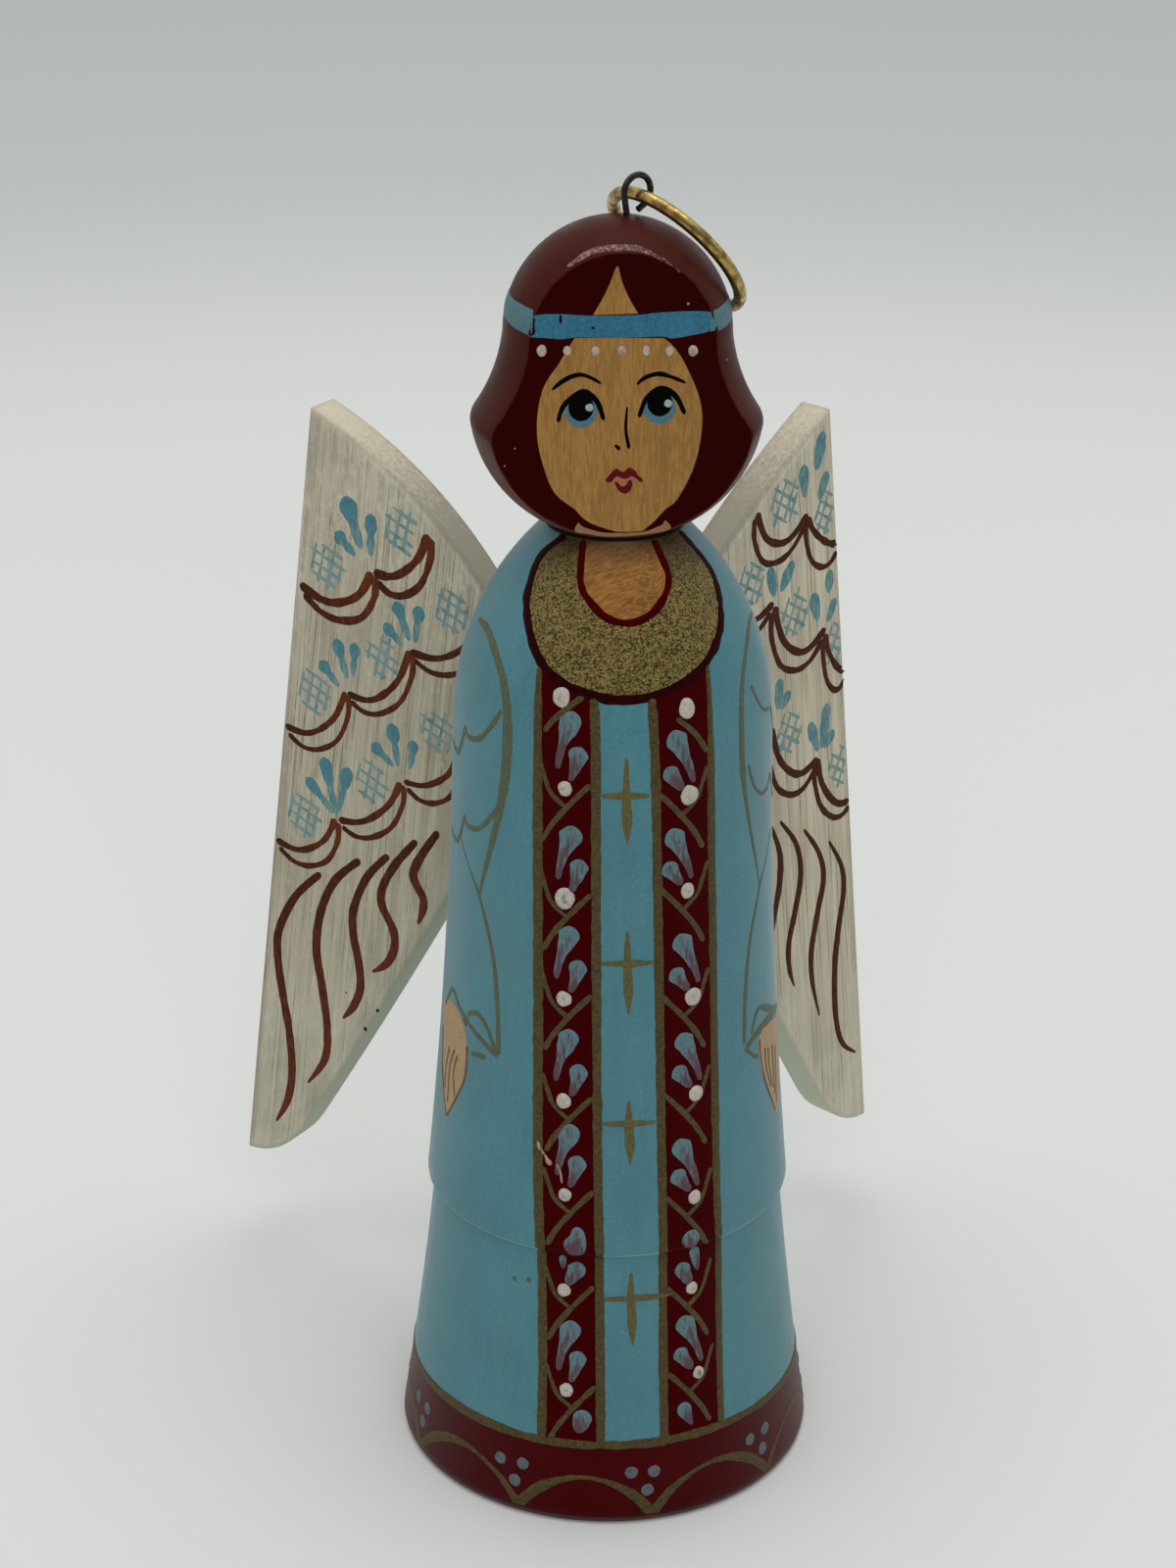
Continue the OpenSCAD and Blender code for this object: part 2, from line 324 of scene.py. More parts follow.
def wing_look(name, side, brightness):
    """White-washed board: streaky wash over grain that runs along the outer edge, with chalky soft corners,
    partly wear and partly painted highlight.
    """
    look = Look(name, 0.62, 0.3)
    sweep = (0, 0, math.radians(-side * WING_SWEEP))
    look.object_place = look.mapped(look.object_place, "Rotation", sweep)
    lean = (0, side * WING_LEAN, 0)
    streak = look.noise(1, 4, 0.6, (1.5, 0.8, 0.045), lean)
    lines = look.noise(1, 3, 0.6, (5.5, 1, 0.05), lean)
    patch = look.noise(0.09)
    rough = look.noise(2.4, 4, 0.65, (1, 1, 0.4))
    cover = look.span(look.blend((streak, 0.65), (patch, 0.35)), 0.36, 0.64)
    colour = look.mix(cover, shade(WASH_DARK, brightness), shade(WASH, brightness))
    colour = look.mix(look.span(lines, 0.54, 0.65, 0, 0.75), colour, GRAIN)
    colour = look.mix(look.span(rough, 0.5, 0.7, 0, 0.4), colour, CREAM)
    # Edges: dull above but cream towards the tip, green-grey underneath, and chalky corners that are partly
    # wear and partly painted highlight
    soft = look.fed("ShaderNodeBevel", {"Radius": 1.2 * MM}, samples=6).outputs["Normal"]
    up = look.blend((look.axis(soft, "Z"), 1), (rough, 0.2))
    tip = look.blend((look.height(), 1), (rough, 14))
    edge = look.mix(look.span(tip, 89, 99), EDGE_DULL, CREAM)
    colour = look.mix(look.span(up, 0.3, 0.6, 0, 0.9), colour, edge)
    colour = look.mix(look.span(up, 0, -0.4), colour, shade(EDGE_GREEN, brightness))
    # Chalky bands along the lower and upper corners: wear and painted highlight.
    for low, middle, high in ((-0.22, -0.08, 0.06), (0.16, 0.32, 0.5)):
        rubbed_and_lit = look.math("MULTIPLY", look.span(up, low, middle), look.span(up, high, middle))
        patchy = look.math("MULTIPLY", rubbed_and_lit, look.span(patch, 0.35, 0.6, 0.2, 0.8))
        colour = look.mix(patchy, colour, CHALK)
    relief = look.blend((streak, 0.5), (lines, -0.5), (rough, 0.5))
    return look.finish(colour, relief, 0.05, normal=soft)


def gold_look(name, colour, grain, depth, spread, metallic=0.3, shade_from=None):
    """Metallic paint with loose flakes, darkened by painted shade above a height if one is given."""
    look = Look(name, 0.5, 0.25, metallic=metallic)
    flake = look.axis(look.cells(grain), "X")
    tone = look.span(look.blend((flake, 0.85), (look.noise(0.5), 0.15)), 0.1, 0.9)
    gold = look.mix(tone, shade(colour, 1 - spread), shade(colour, 1 + spread))
    return look.finish(look.neck_shaded(gold, shade_from), flake, depth, (0, 1, 0.42, 0.6))


def stroke_look(name, colour, under, cover=0.4, fade=0, rim=0, streak=(2.2, 2.2, 0.5), gloss=0.2):
    """Brush stroke through which the coat below shows in streaks, less at its start and its rim."""
    look = Look(name, 0.48, gloss)
    thin = look.noise(1.6, 4, 0.6, streak)
    full = look.blend((thin, 1), (look.stroke_place("flow"), -fade), (look.stroke_place("rim"), rim))
    body = look.mix(look.span(look.noise(3.5, 2), 0.3, 0.7), shade(colour, 0.88), shade(colour, 1.12))
    return look.finish(look.mix(look.span(full, cover - 0.14, cover + 0.14), under, body), thin, 0.02)


def brass_look():
    """Old brass: bright where it rubs, brown tarnish in soft patches."""
    look = Look("brass", 0.3, metallic=1)
    scuff = look.noise(2.6, 3, 0.6, (2, 2, 2))
    tone = look.blend((look.noise(1.1, 3, 0.5), 0.75), (scuff, 0.25))
    look.set("Roughness", look.span(tone, 0.38, 0.62, 0.42, 0.22))
    return look.finish(look.mix(look.span(tone, 0.36, 0.64), BRASS_DARK, BRASS), scuff, 0.012)


def wire_look():
    """Blackened wire, worn to grey in places."""
    look = Look("black_wire", 0.45, 0.4, metallic=0.2)
    blotches = look.noise(2.2, 4, 0.65)
    colour = look.mix(look.span(blotches, 0.5, 0.7), WIRE_BLACK, WIRE_WORN)
    return look.finish(colour, blotches, 0.01, (0.4, 0.7, 0.5, 0.34))


# Solids: welded, eased along their edges, smooth over their round parts (mm and degrees)
WELD_GAP = 0.002
PLAIN_ANGLE = 0.2
BEVEL_ANGLE = 38
BEVEL_STEPS = 3
SHARP_ANGLE = 32
PAINT_SHARP_ANGLE = 50


def smooth_group():
    """Geometry nodes that shade a solid smooth, except across its sharp edges."""
    group = bpy.data.node_groups.new("Smooth skin", "GeometryNodeTree")
    for way in ("INPUT", "OUTPUT"):
        group.interface.new_socket("Geometry", in_out=way, socket_type="NodeSocketGeometry")
    skin = Nodes(group)
    corner = skin.add("GeometryNodeInputMeshEdgeAngle").outputs["Unsigned Angle"]
    sharp = skin.fed("FunctionNodeCompare", {"A": corner, "B": math.radians(SHARP_ANGLE)},
                     operation="GREATER_THAN")
    creases = {"Selection": sharp.outputs["Result"], "Shade Smooth": False}
    chain = [skin.add("NodeGroupInput"),
             skin.fed("GeometryNodeRemoveAttribute", {"Name": "custom_normal"}),
             skin.add("GeometryNodeSetShadeSmooth", domain="FACE"),
             skin.fed("GeometryNodeSetShadeSmooth", creases, domain="EDGE"),
             skin.add("NodeGroupOutput")]
    for before, after in zip(chain, chain[1:]):
        skin.feed(after.inputs[0], before.outputs[0])
    return group


def ease(name, width, look):
    """Gives a solid its material, eased edges of that width in mm, and smooth shading."""
    solid = nodes[name]
    solid.data.materials.clear()
    solid.data.materials.append(look)
    weld = solid.modifiers.new("Weld", "WELD")
    weld.merge_threshold = WELD_GAP * MM
    if width:
        plain = solid.modifiers.new("Plain faces", "DECIMATE")
        plain.decimate_type = "DISSOLVE"
        plain.angle_limit = math.radians(PLAIN_ANGLE)
        bevel = solid.modifiers.new("Eased edges", "BEVEL")
        bevel.width = width * MM
        bevel.segments = BEVEL_STEPS
        bevel.limit_method = "ANGLE"
        bevel.angle_limit = math.radians(BEVEL_ANGLE)
        bevel.use_clamp_overlap = True
    skin = solid.modifiers.new("Smooth skin", "NODES")
    skin.node_group = smooth_group()


bare_wood = wood("bare_wood", WOOD, WOOD_DARK)
ease("body", 0, robe_look())
ease("head", 0.3, hair_look())
ease("neck_dowel", 0.3, bare_wood)
# Each wing's wash is brightened; the right wing's more, as painted light for the light that falls on that
# side.
ease("left_wing", 0.7, wing_look("whitewashed_wood", -1, 1.1))
ease("right_wing", 0.7, wing_look("whitewashed_wood.right", 1, 1.36))
ease("wire_eye", 0, wire_look())
ease("hanging_ring", 0, brass_look())
bpy.context.view_layer.update()
depsgraph = bpy.context.evaluated_depsgraph_get()


class Skin:
    """Surface of a solid, in two coordinates of its own. aim() gives the ray for a place on it."""

    def __init__(self, node, aim):
        self.tree = BVHTree.FromObject(nodes[node], depsgraph)
        self.aim = aim

    def at(self, u, v):
        start, way = self.aim(self, u, v)
        hit, normal, _, _ = self.tree.ray_cast(start, way)
        if hit is None:
            hit, normal, _, _ = self.tree.find_nearest(start)
        return hit, (-normal if normal.dot(way) > 0 else normal)

    def faces(self, u, v, way):
        """Whether the surface is there and faces that way."""
        _, normal, _, _ = self.tree.ray_cast(*self.aim(self, u, v))
        return normal is not None and normal.dot(way) > FLAT

    def drop(self, point, normal):
        """The place on the surface under a point near it."""
        hit, _, _, _ = self.tree.ray_cast(point + normal * MM, -normal, REACH * MM)
        return point if hit is None else hit


def aim_turn(skin, u, v):
    """u is the angle round from the front in degrees, and v the height."""
    angle = math.radians(u)
    out = Vector((math.sin(angle), -math.cos(angle), 0))
    return out * AWAY * MM + Vector((0, 0, v * MM)), -out


def aim_round(skin, u, v):
    """u is the way round from the front, along the surface, and v the height."""
    hit, _, _, _ = skin.tree.ray_cast(*aim_turn(skin, 0, v))
    return aim_turn(skin, math.degrees(u * MM / max(-hit.y, MM)), v)


def aim_front(skin, u, v):
    """u is the way to the right and v the height, seen from straight ahead."""
    return Vector((u, -AWAY, v)) * MM, Vector((0, 1, 0))


def aim_board(side):
    """u is the way out along the front of a wing's board and v the height."""
    sweep = math.radians(WING_SWEEP)
    front = Vector((side * math.sin(sweep), -math.cos(sweep), 0))

    def aim(skin, u, v):
        place = Vector((side * u * math.cos(sweep), WING_MEET + u * math.sin(sweep), v))
        return (place + front * BOARD_AWAY) * MM, -front
    return aim


robe = Skin("body", aim_round)
turned = Skin("body", aim_turn)
face = Skin("head", aim_front)
hair = Skin("head", aim_turn)
boards = {side: Skin(f"{name}_wing", aim_board(side)) for side, name in SIDES.items()}


# Painted shapes
def curve(points, step, closed=False):
    """Smooth line through the points, in steps of about that length. Further numbers follow along."""
    count = len(points)
    line = []
    for i in range(count if closed else count - 1):
        if closed:
            four = [points[(i + k) % count] for k in (-1, 0, 1, 2)]
        else:
            four = [points[min(max(i + k, 0), count - 1)] for k in (-1, 0, 1, 2)]
        p0, p1, p2, p3 = four
        pieces = max(2, math.ceil(math.dist(p1[:2], p2[:2]) / step))
        for j in range(pieces):
            t = j / pieces
            line.append(tuple(
                0.5 * (2 * b + (c - a) * t + (2 * a - 5 * b + 4 * c - d) * t * t
                       + (3 * b - a - 3 * c + d) * t ** 3)
                for a, b, c, d in zip(p0, p1, p2, p3)))
    if not closed:
        line.append(tuple(points[-1]))
    return line


class Paint:
    """Mesh that gathers painted shapes of one kind and becomes one piece."""

    def __init__(self, name, look, slot="painted_robe"):
        self.name, self.look, self.slot = name, look, slot
        self.mesh = bmesh.new()
        self.flow = self.mesh.verts.layers.float.new("flow")
        self.rim = self.mesh.verts.layers.float.new("rim")

    def vert(self, place, flow=0, rim=0):
        vert = self.mesh.verts.new(place)
        vert[self.flow] = flow
        vert[self.rim] = rim
        return vert

    def bridge(self, loops):
        """Faces between neighbouring closed loops of vertices."""
        for a, b in loops:
            for k in range(len(a)):
                m = (k + 1) % len(a)
                self.mesh.faces.new((a[k], a[m], b[m], b[k]))

    def stroke(self, skin, points, width, height=0.06, step=0.3, lift=0, wobble=0.1,
               closed=False, blunt=False):
        """Round-topped brush stroke along the points (u, v) or (u, v, share of the width)."""
        points = [p if len(p) > 2 else (*p, 1) for p in points]
        line = curve(points, step, closed)
        spots = [skin.at(p[0], p[1]) for p in line]
        way = [0]
        for (a, _), (b, _) in zip(spots, spots[1:]):
            way.append(way[-1] + (b - a).length / MM)
        across = 3
        last = len(spots) - 1
        rows = []
        for i, (spot, normal) in enumerate(spots):
            ahead = spots[(i + 1) % len(spots) if closed else min(i + 1, last)][0]
            behind = spots[i - 1 if closed else max(i - 1, 0)][0]
            side = normal.cross(ahead - behind).normalized()
            half = width / 2 * max(line[i][2], 0.02)
            half *= 1 + wobble * noise.noise(spot * (1.1 / MM))
            end = min(way[i], way[-1] - way[i])
            if end < half and not closed and not blunt:
                half *= max(math.sqrt(1 - (1 - end / half) ** 2), 0.2)
            full = min(1, half / (0.4 * width) + 0.2)
            row = []
            for k in range(-across, across + 1):
                t = k / across
                place = skin.drop(spot + side * half * t * MM, normal)
                rise = lift + height * math.sqrt(1 - t * t) * full if abs(k) < across else lift - 0.01
                row.append(self.vert(place + normal * rise * MM, way[i] / way[-1], abs(t)))
            for t in (1, -1):
                place = skin.drop(spot + side * half * t * MM, normal)
                row.append(self.vert(place - normal * SUNK * MM, way[i] / way[-1], 1))
            rows.append(row)
        self.bridge(list(zip(rows, rows[1:])) + ([(rows[-1], rows[0])] if closed else []))
        if not closed:
            self.mesh.faces.new(rows[0][::-1])
            self.mesh.faces.new(rows[-1])
        return self

    def belt(self, skin, low, high, height=0.03, around=120, rows=8):
        """Thin closed coat all the way round between two heights."""
        levels = [(low + (high - low) * j / rows, height) for j in range(rows + 1)]
        loops = []
        for v, rise in levels + [(high, -SUNK), (low, -SUNK)]:
            spots = [skin.at(360 * i / around, v) for i in range(around)]
            loops.append([self.vert(spot + normal * rise * MM) for spot, normal in spots])
        self.bridge(list(zip(loops, loops[1:])) + [(loops[-1], loops[0])])
        return self

    def patch(self, skin, rim, height=0.03, step=0.5):
        """Thin closed coat inside a closed line of (u, v) places."""
        corners = [Vector(p[:2]) for p in rim]
        flat = []
        for a, b in zip(corners, corners[1:] + corners[:1]):
            pieces = max(1, math.ceil((b - a).length / (1.5 * step)))
            flat += [a.lerp(b, k / pieces) for k in range(pieces)]
        count = len(flat)
        low = [min(p[k] for p in flat) for k in (0, 1)]
        high = [max(p[k] for p in flat) for k in (0, 1)]
        inner = []
        for i in range(int((high[0] - low[0]) / step) + 1):
            for j in range(int((high[1] - low[1]) / step) + 1):
                p = Vector((low[0] + (i + 0.5 * (j % 2)) * step, low[1] + j * step))
                if all((p - q).length > 0.55 * step for q in flat):
                    inner.append(p)
        edges = [(i, (i + 1) % count) for i in range(count)]
        places, _, faces, _, _, _ = delaunay_2d_cdt(flat + inner, edges, [], 1, 1e-5)
        tops, lows = [], []
        for p in places:
            spot, normal = skin.at(p.x, p.y)
            tops.append(self.vert(spot + normal * height * MM))
            lows.append(self.vert(spot - normal * SUNK * MM))
        border = set()
        for corners in faces:
            self.mesh.faces.new([tops[i] for i in corners])
            self.mesh.faces.new([lows[i] for i in reversed(corners)])
            border.update(zip(corners, corners[1:] + corners[:1]))
        for a, b in sorted(border):
            if (b, a) not in border:
                self.mesh.faces.new((tops[b], tops[a], lows[a], lows[b]))
        for loose in [v for v in tops + lows if not v.link_faces]:
            self.mesh.verts.remove(loose)
        return self

    def dot(self, skin, u, v, radius, height=0.2, seed=0, stretch=1):
        """Raised drop of paint, slightly out of round, with a shallow hollow on top."""
        spot, normal = skin.at(u, v)
        side = Vector((0, 0, 1)).cross(normal).normalized()
        up = normal.cross(side)
        around, rings = 14, 5
        top = self.vert(spot + normal * height * 0.75 * MM)
        loops = []
        for j in range(1, rings + 2):
            t = min(j, rings) / rings
            rise = height * (math.sqrt(1 - t * t) - 0.25 * max(0, 1 - 2.5 * t))
            if j >= rings:
                rise = -0.01 if j == rings else -SUNK
            ring = []
            for i in range(around):
                a = 2 * math.pi * i / around
                r = radius * t * (1 + 0.14 * noise.noise((math.cos(a) * 1.3, math.sin(a) * 1.3, seed)))
                way = side * math.cos(a) + up * math.sin(a) * stretch
                place = skin.drop(spot + way * r * MM, normal)
                ring.append(self.vert(place + normal * rise * MM, 0, t))
            loops.append(ring)
        for i in range(around):
            self.mesh.faces.new((top, loops[0][i], loops[0][(i + 1) % around]))
        self.bridge(zip(loops, loops[1:]))
        self.mesh.faces.new(loops[-1][::-1])
        return self

    def done(self, body="figure"):
        bmesh.ops.recalc_face_normals(self.mesh, faces=self.mesh.faces)
        data = bpy.data.meshes.new(self.name)
        self.mesh.to_mesh(data)
        self.mesh.free()
        data.materials.append(self.look)
        data.shade_smooth()
        data.set_sharp_from_angle(angle=math.radians(PAINT_SHARP_ANGLE))
        piece = put(self.name, data)
        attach(piece, body)
        return piece


burgundy = paint("burgundy_paint", BURGUNDY, 0.5, 0.12, gloss=0.06, tint=(0.6, 0.1, 0.1))
line_gold = gold_look("gold_line", OLIVE, 5, 0.03, 0.3, 0.15)
# The gold collar darkens up to the chin: painted shade of the head.
collar_gold = gold_look("gold_collar", GOLD, 7.5, 0.06, 0.78, shade_from=COLLAR_SHADE_Z)
white = stroke_look("white_dot", WHITE, HOLLOW, 0.5, rim=0.3, streak=(1, 1, 1), gloss=0.3)
black = paint("black_line", BLACK, 0.5, 0.2, gloss=0.03)

# Collar: gold crescent, bare throat, burgundy outlines
COLLAR = [(-5.4, 90.27), (-8.3, 88.5), (-9.4, 86.35), (-9.55, 84.7), (-8.5, 81.9), (-6.6, 80.15),
          (-3.9, 79.2), (-0.9, 78.8), (2.4, 79.15), (5.9, 80.4), (8.3, 82.4), (9.25, 84.4), (9.05, 87.1),
          (5.9, 90.27)]
THROAT = [(-3.6, 90.27), (-4.1, 87.45), (-3.35, 86.1), (-1.9, 84.95), (0.1, 84.65), (2, 85.3),
          (3.3, 86.6), (3.65, 87.9), (2.6, 90.27)]
# Turn of the throat's grain in degrees
THROAT_GRAIN = (0, -60, 0)
collar_rim = curve(COLLAR, 0.4)
throat_rim = curve(THROAT, 0.4)
Paint("collar", collar_gold).patch(robe, collar_rim + throat_rim[::-1], 0.06, 0.45).done()
# The throat wood darkens up to the chin: painted shade of the head.
throat_wood = wood("throat_wood", THROAT_WOOD, THROAT_DARK, THROAT_GRAIN, THROAT_SHADE_Z)
Paint("throat", throat_wood, "bare_wood").patch(robe, throat_rim, 0.02).done()
dark_red = paint("collar_line", DARK_RED, 0.5, 0.3, gloss=0.05, tint=(0.8, 0.4, 0.4))
Paint("collar_outline", dark_red).stroke(robe, COLLAR, 1, 0.1, wobble=0.3).done()
Paint("throat_outline", burgundy).stroke(robe, THROAT, 0.8, 0.1, wobble=0.3).done()

# Placket: two burgundy bands between gold lines, each with a row of leaves, drops and dots
OVER_LIP = LIP_Z + 0.02
UNDER_LIP = LIP_Z - 0.02
LIP_STRIP = 0.8
LEFT_IN = [(-3.35, 79), (-3.25, 72), (-3.1, 53), (-2.95, 35), (-2.8, OVER_LIP)]
LEFT_OUT = [(-8.2, 80.8, 0.45), (-8.4, 74, 0.9), (-8.35, 53, 1), (-8.4, 34, 1), (-8.2, OVER_LIP, 1)]
RIGHT_IN = [(1.5, 79), (1.85, 72), (2.4, 53), (2.8, 35), (3, OVER_LIP)]
RIGHT_OUT = [(6.9, 80.8, 0.45), (7.15, 71, 0.9), (7.8, 52, 1), (8.3, 34, 1), (8.65, OVER_LIP, 0.9)]
LEFT_IN_LOW = [(-2.75, UNDER_LIP), (-2.7, 16), (-2.7, HEM_Z)]
LEFT_OUT_LOW = [(-8, UNDER_LIP), (-8, 16), (-8.2, HEM_Z)]
RIGHT_IN_LOW = [(3.05, UNDER_LIP), (3.1, 16), (3.2, HEM_Z)]
RIGHT_OUT_LOW = [(8.8, UNDER_LIP), (8.9, 16), (9.1, HEM_Z)]
bands = Paint("placket_bands", burgundy)
lines = Paint("placket_lines", line_gold)
for inner, outer, outer_width in ((LEFT_IN, LEFT_OUT, 1), (RIGHT_IN, RIGHT_OUT, 0.9),
                                  (LEFT_IN_LOW, LEFT_OUT_LOW, 0.9), (RIGHT_IN_LOW, RIGHT_OUT_LOW, 0.8)):
    bands.patch(robe, curve(inner, 0.6) + curve(outer, 0.6)[::-1], 0.025, 0.6)
    if inner[-1][1] == OVER_LIP:
        # A strip in small steps, because the robe's lower edge is rounded
        (a, low), (b, _, _) = inner[-1], outer[-1]
        high = low + LIP_STRIP
        bands.patch(robe, [(a, low), (b, low), (b, high), (a, high)], 0.03, 0.14)
    lines.stroke(robe, inner, 0.85, 0.07, step=0.5, lift=0.02, wobble=0.22)
    lines.stroke(robe, outer, outer_width, 0.07, step=0.5, lift=0.02, wobble=0.25)

# White dots, from the top down, with their radius
DOTS = {
    -1: [(-5.9, 70.8, 0.68), (-5.9, 60.7, 0.94), (-5.95, 51.3, 0.72), (-6, 41.6, 0.72),
         (-5.9, 32.6, 0.64), (-5.95, 22.9, 0.64), (-5.8, 13.1, 0.68)],
    1: [(4.97, 69.9, 0.9), (4.95, 61.1, 0.7), (5.65, 51, 0.85), (6.05, 41.7, 0.75), (6, 31.7, 0.68),
        (5.9, 22.4, 0.61), (6.6, 13.9, 0.59)]}
FIRST_DOT = {-1: (-6.16, 78.7), 1: (4.7, 77.6)}
# Drops above each dot: outwards and up from it, with the share of the width
LONG_DROP = {
    -1: [(-0.5, 6.9, 0.75), (-0.45, 6.1, 1), (-0.2, 5.3, 0.8), (0.2, 4.2, 0.45), (0.55, 2.9, 0.34),
         (0.7, 1.8, 0.25)],
    1: [(-1.6, 6, 0.75), (-1.35, 5.3, 1), (-0.95, 4.5, 0.8), (-0.5, 3.5, 0.5), (0, 2.4, 0.36),
        (0.4, 1.1, 0.25)]}
SHORT_DROP = {
    -1: [(-1.45, 3.8, 0.75), (-1.25, 3.2, 1), (-1.05, 2.3, 0.7), (-0.7, 1.2, 0.4), (-0.5, 0.7, 0.35)],
    1: [(-2.1, 2.9, 0.75), (-1.75, 2.4, 1), (-1.2, 1.6, 0.65), (-0.5, 0.7, 0.4)]}
# Drops that the lip of the robe breaks up
LIP_UNIT = 5
LIP_DROPS = {
    -1: [
        [(-4.9, 29.6, 0.55), (-4.75, 28.7, 0.8), (-5, 27.8, 1.1), (-5.3, 26.8, 1.2)],
        [(-6.05, 26.3, 0.4), (-6, 25, 0.25)],
        [(-4.6, 25.8, 0.7), (-4.75, 25.1, 1), (-5.2, 24.3, 0.65), (-5.65, 23.4, 0.35)]],
    1: [
        [(6.05, 28.5, 0.75), (5.7, 27.6, 1.1), (5.85, 26.8, 0.8)],
        [(6.05, 26.4, 0.6), (6.3, 25, 0.45), (6.5, 24, 0.2)],
        [(4.65, 25.1, 0.8), (4.95, 24.4, 1), (5.4, 23.5, 0.65), (5.75, 22.8, 0.35)]]}
LAST_DROP = {
    -1: [(-4.2, 11.3, 1), (-4.4, 10.3, 0.9), (-4.8, 9, 0.5)],
    1: [(4.9, 11.3, 0.7), (5.15, 10.6, 0.75), (5.5, 9.8, 0.5), (5.95, 8.9, 0.15)]}
# Leaf lines: outwards from the inner line and up from the dot
LONG_LEAF = [(0.4, 0.6), (1.7, -0.8), (2.8, -2.1), (3.9, -3.6), (4.7, -5.1)]
SHORT_LEAF = [(5, 2.4), (4.5, 0.9), (4, -0.4), (3.2, -1.2), (2.5, -1.7)]
FIRST_LEAF = {
    -1: [(-4.2, 79), (-5.6, 77.9), (-6.95, 76.7), (-7.8, 75.6)],
    1: [(3.7, 76.9), (4.9, 75.9), (5.8, 74.9), (6.7, 73.5)]}
# Place of each inner line at the top of the bands, and how far it moves right per mm down
BAND_TOP = 79
BAND_INNER = {-1: (-3.35, 0.0095), 1: (1.5, 0.025)}
drops = Paint("placket_drops", stroke_look("drop_paint", PALE_BLUE, MAUVE, 0.4, 0.42, 0.2))
dots = Paint("placket_dots", white)


def band_inner(side, z):
    """Place of a band's inner gold line at a height."""
    place, drift = BAND_INNER[side]
    return place + drift * (BAND_TOP - z)


for side in (-1, 1):
    lines.stroke(robe, FIRST_LEAF[side], 0.55, lift=0.02)
    dots.dot(robe, *FIRST_DOT[side], 0.8, 0.22, side, 1.2)
    drops.stroke(robe, LAST_DROP[side], 2, 0.12, step=0.2, lift=0.02)
    for i, (u, z, radius) in enumerate(DOTS[side]):
        # Leaves on the skirt end under the robe's lower edge
        top = LIP_Z - 0.3 if z < LIP_Z else math.inf
        for leaf, width in ((LONG_LEAF, 0.56), (SHORT_LEAF, 0.46)):
            line = [(band_inner(side, z) + side * out, min(z + up, top)) for out, up in leaf]
            lines.stroke(robe, line, width, lift=0.02, wobble=0.25)
        if i == LIP_UNIT:
            for line in LIP_DROPS[side]:
                drops.stroke(robe, line, 1.85, 0.12, step=0.2, lift=0.02, wobble=0.2)
        else:
            for drop, width in ((LONG_DROP, 2.05), (SHORT_DROP, 1.75)):
                jitter = 0.3 * noise.noise((i * 1.7, side * 3.1, width))
                line = [(u + side * (out + jitter), z + up + jitter, share)
                        for out, up, share in drop[side]]
                drops.stroke(robe, line, width, 0.12, step=0.2, lift=0.02, wobble=0.14)
        dots.dot(robe, u, z, radius, 0.26, i + 9 * side, 1.08)
for part in (bands, drops, dots):
    part.done()

# Scratches on the left band
CHIPS = [
    [(-8.45, 37.4, 0.5), (-8.2, 36.7, 0.9), (-7.7, 36.1, 0.5), (-7.4, 35.6, 1.4), (-7.05, 35.3, 1)],
    [(-6.6, 35.5, 0.8), (-6.3, 34.7, 0.5), (-6.15, 33.7, 0.4)]]
chips = Paint("placket_chips", stroke_look("chipped_paint", CHIP, MAUVE, 0.42))
for line in CHIPS:
    chips.stroke(robe, line, 0.4, 0.03, lift=0.1, wobble=0.4)
chips.done()

# Four-pointed gold crosses down the blue middle: centre, reach up, down, left and right
CROSSES = [(-0.66, 70.4, 3.4, 4.4, 2.1, 2), (-0.43, 54.9, 3, 4.8, 2.3, 2.4),
           (-0.22, 39.7, 2.2, 4, 2.3, 2.4), (0.1, 22.3, 2.5, 4.7, 2.4, 3.8)]
crosses = Paint("crosses", gold_look("gold_cross", CROSS_GOLD, 6, 0.02, 0.2, 0.1))
for u, z, up, down, left, right in CROSSES:
    upright = [(u, z + up, 0.35), (u, z, 0.9), (u + 0.1, z - down / 2, 1.1), (u + 0.15, z - down, 0.15)]
    arms = [(u - left, z, 0.5), (u, z, 1), (u + right, z - 0.05, 0.5)]
    crosses.stroke(robe, upright, 0.84, wobble=0.2)
    crosses.stroke(robe, arms, 0.58, lift=0.06, wobble=0.25)
crosses.done()

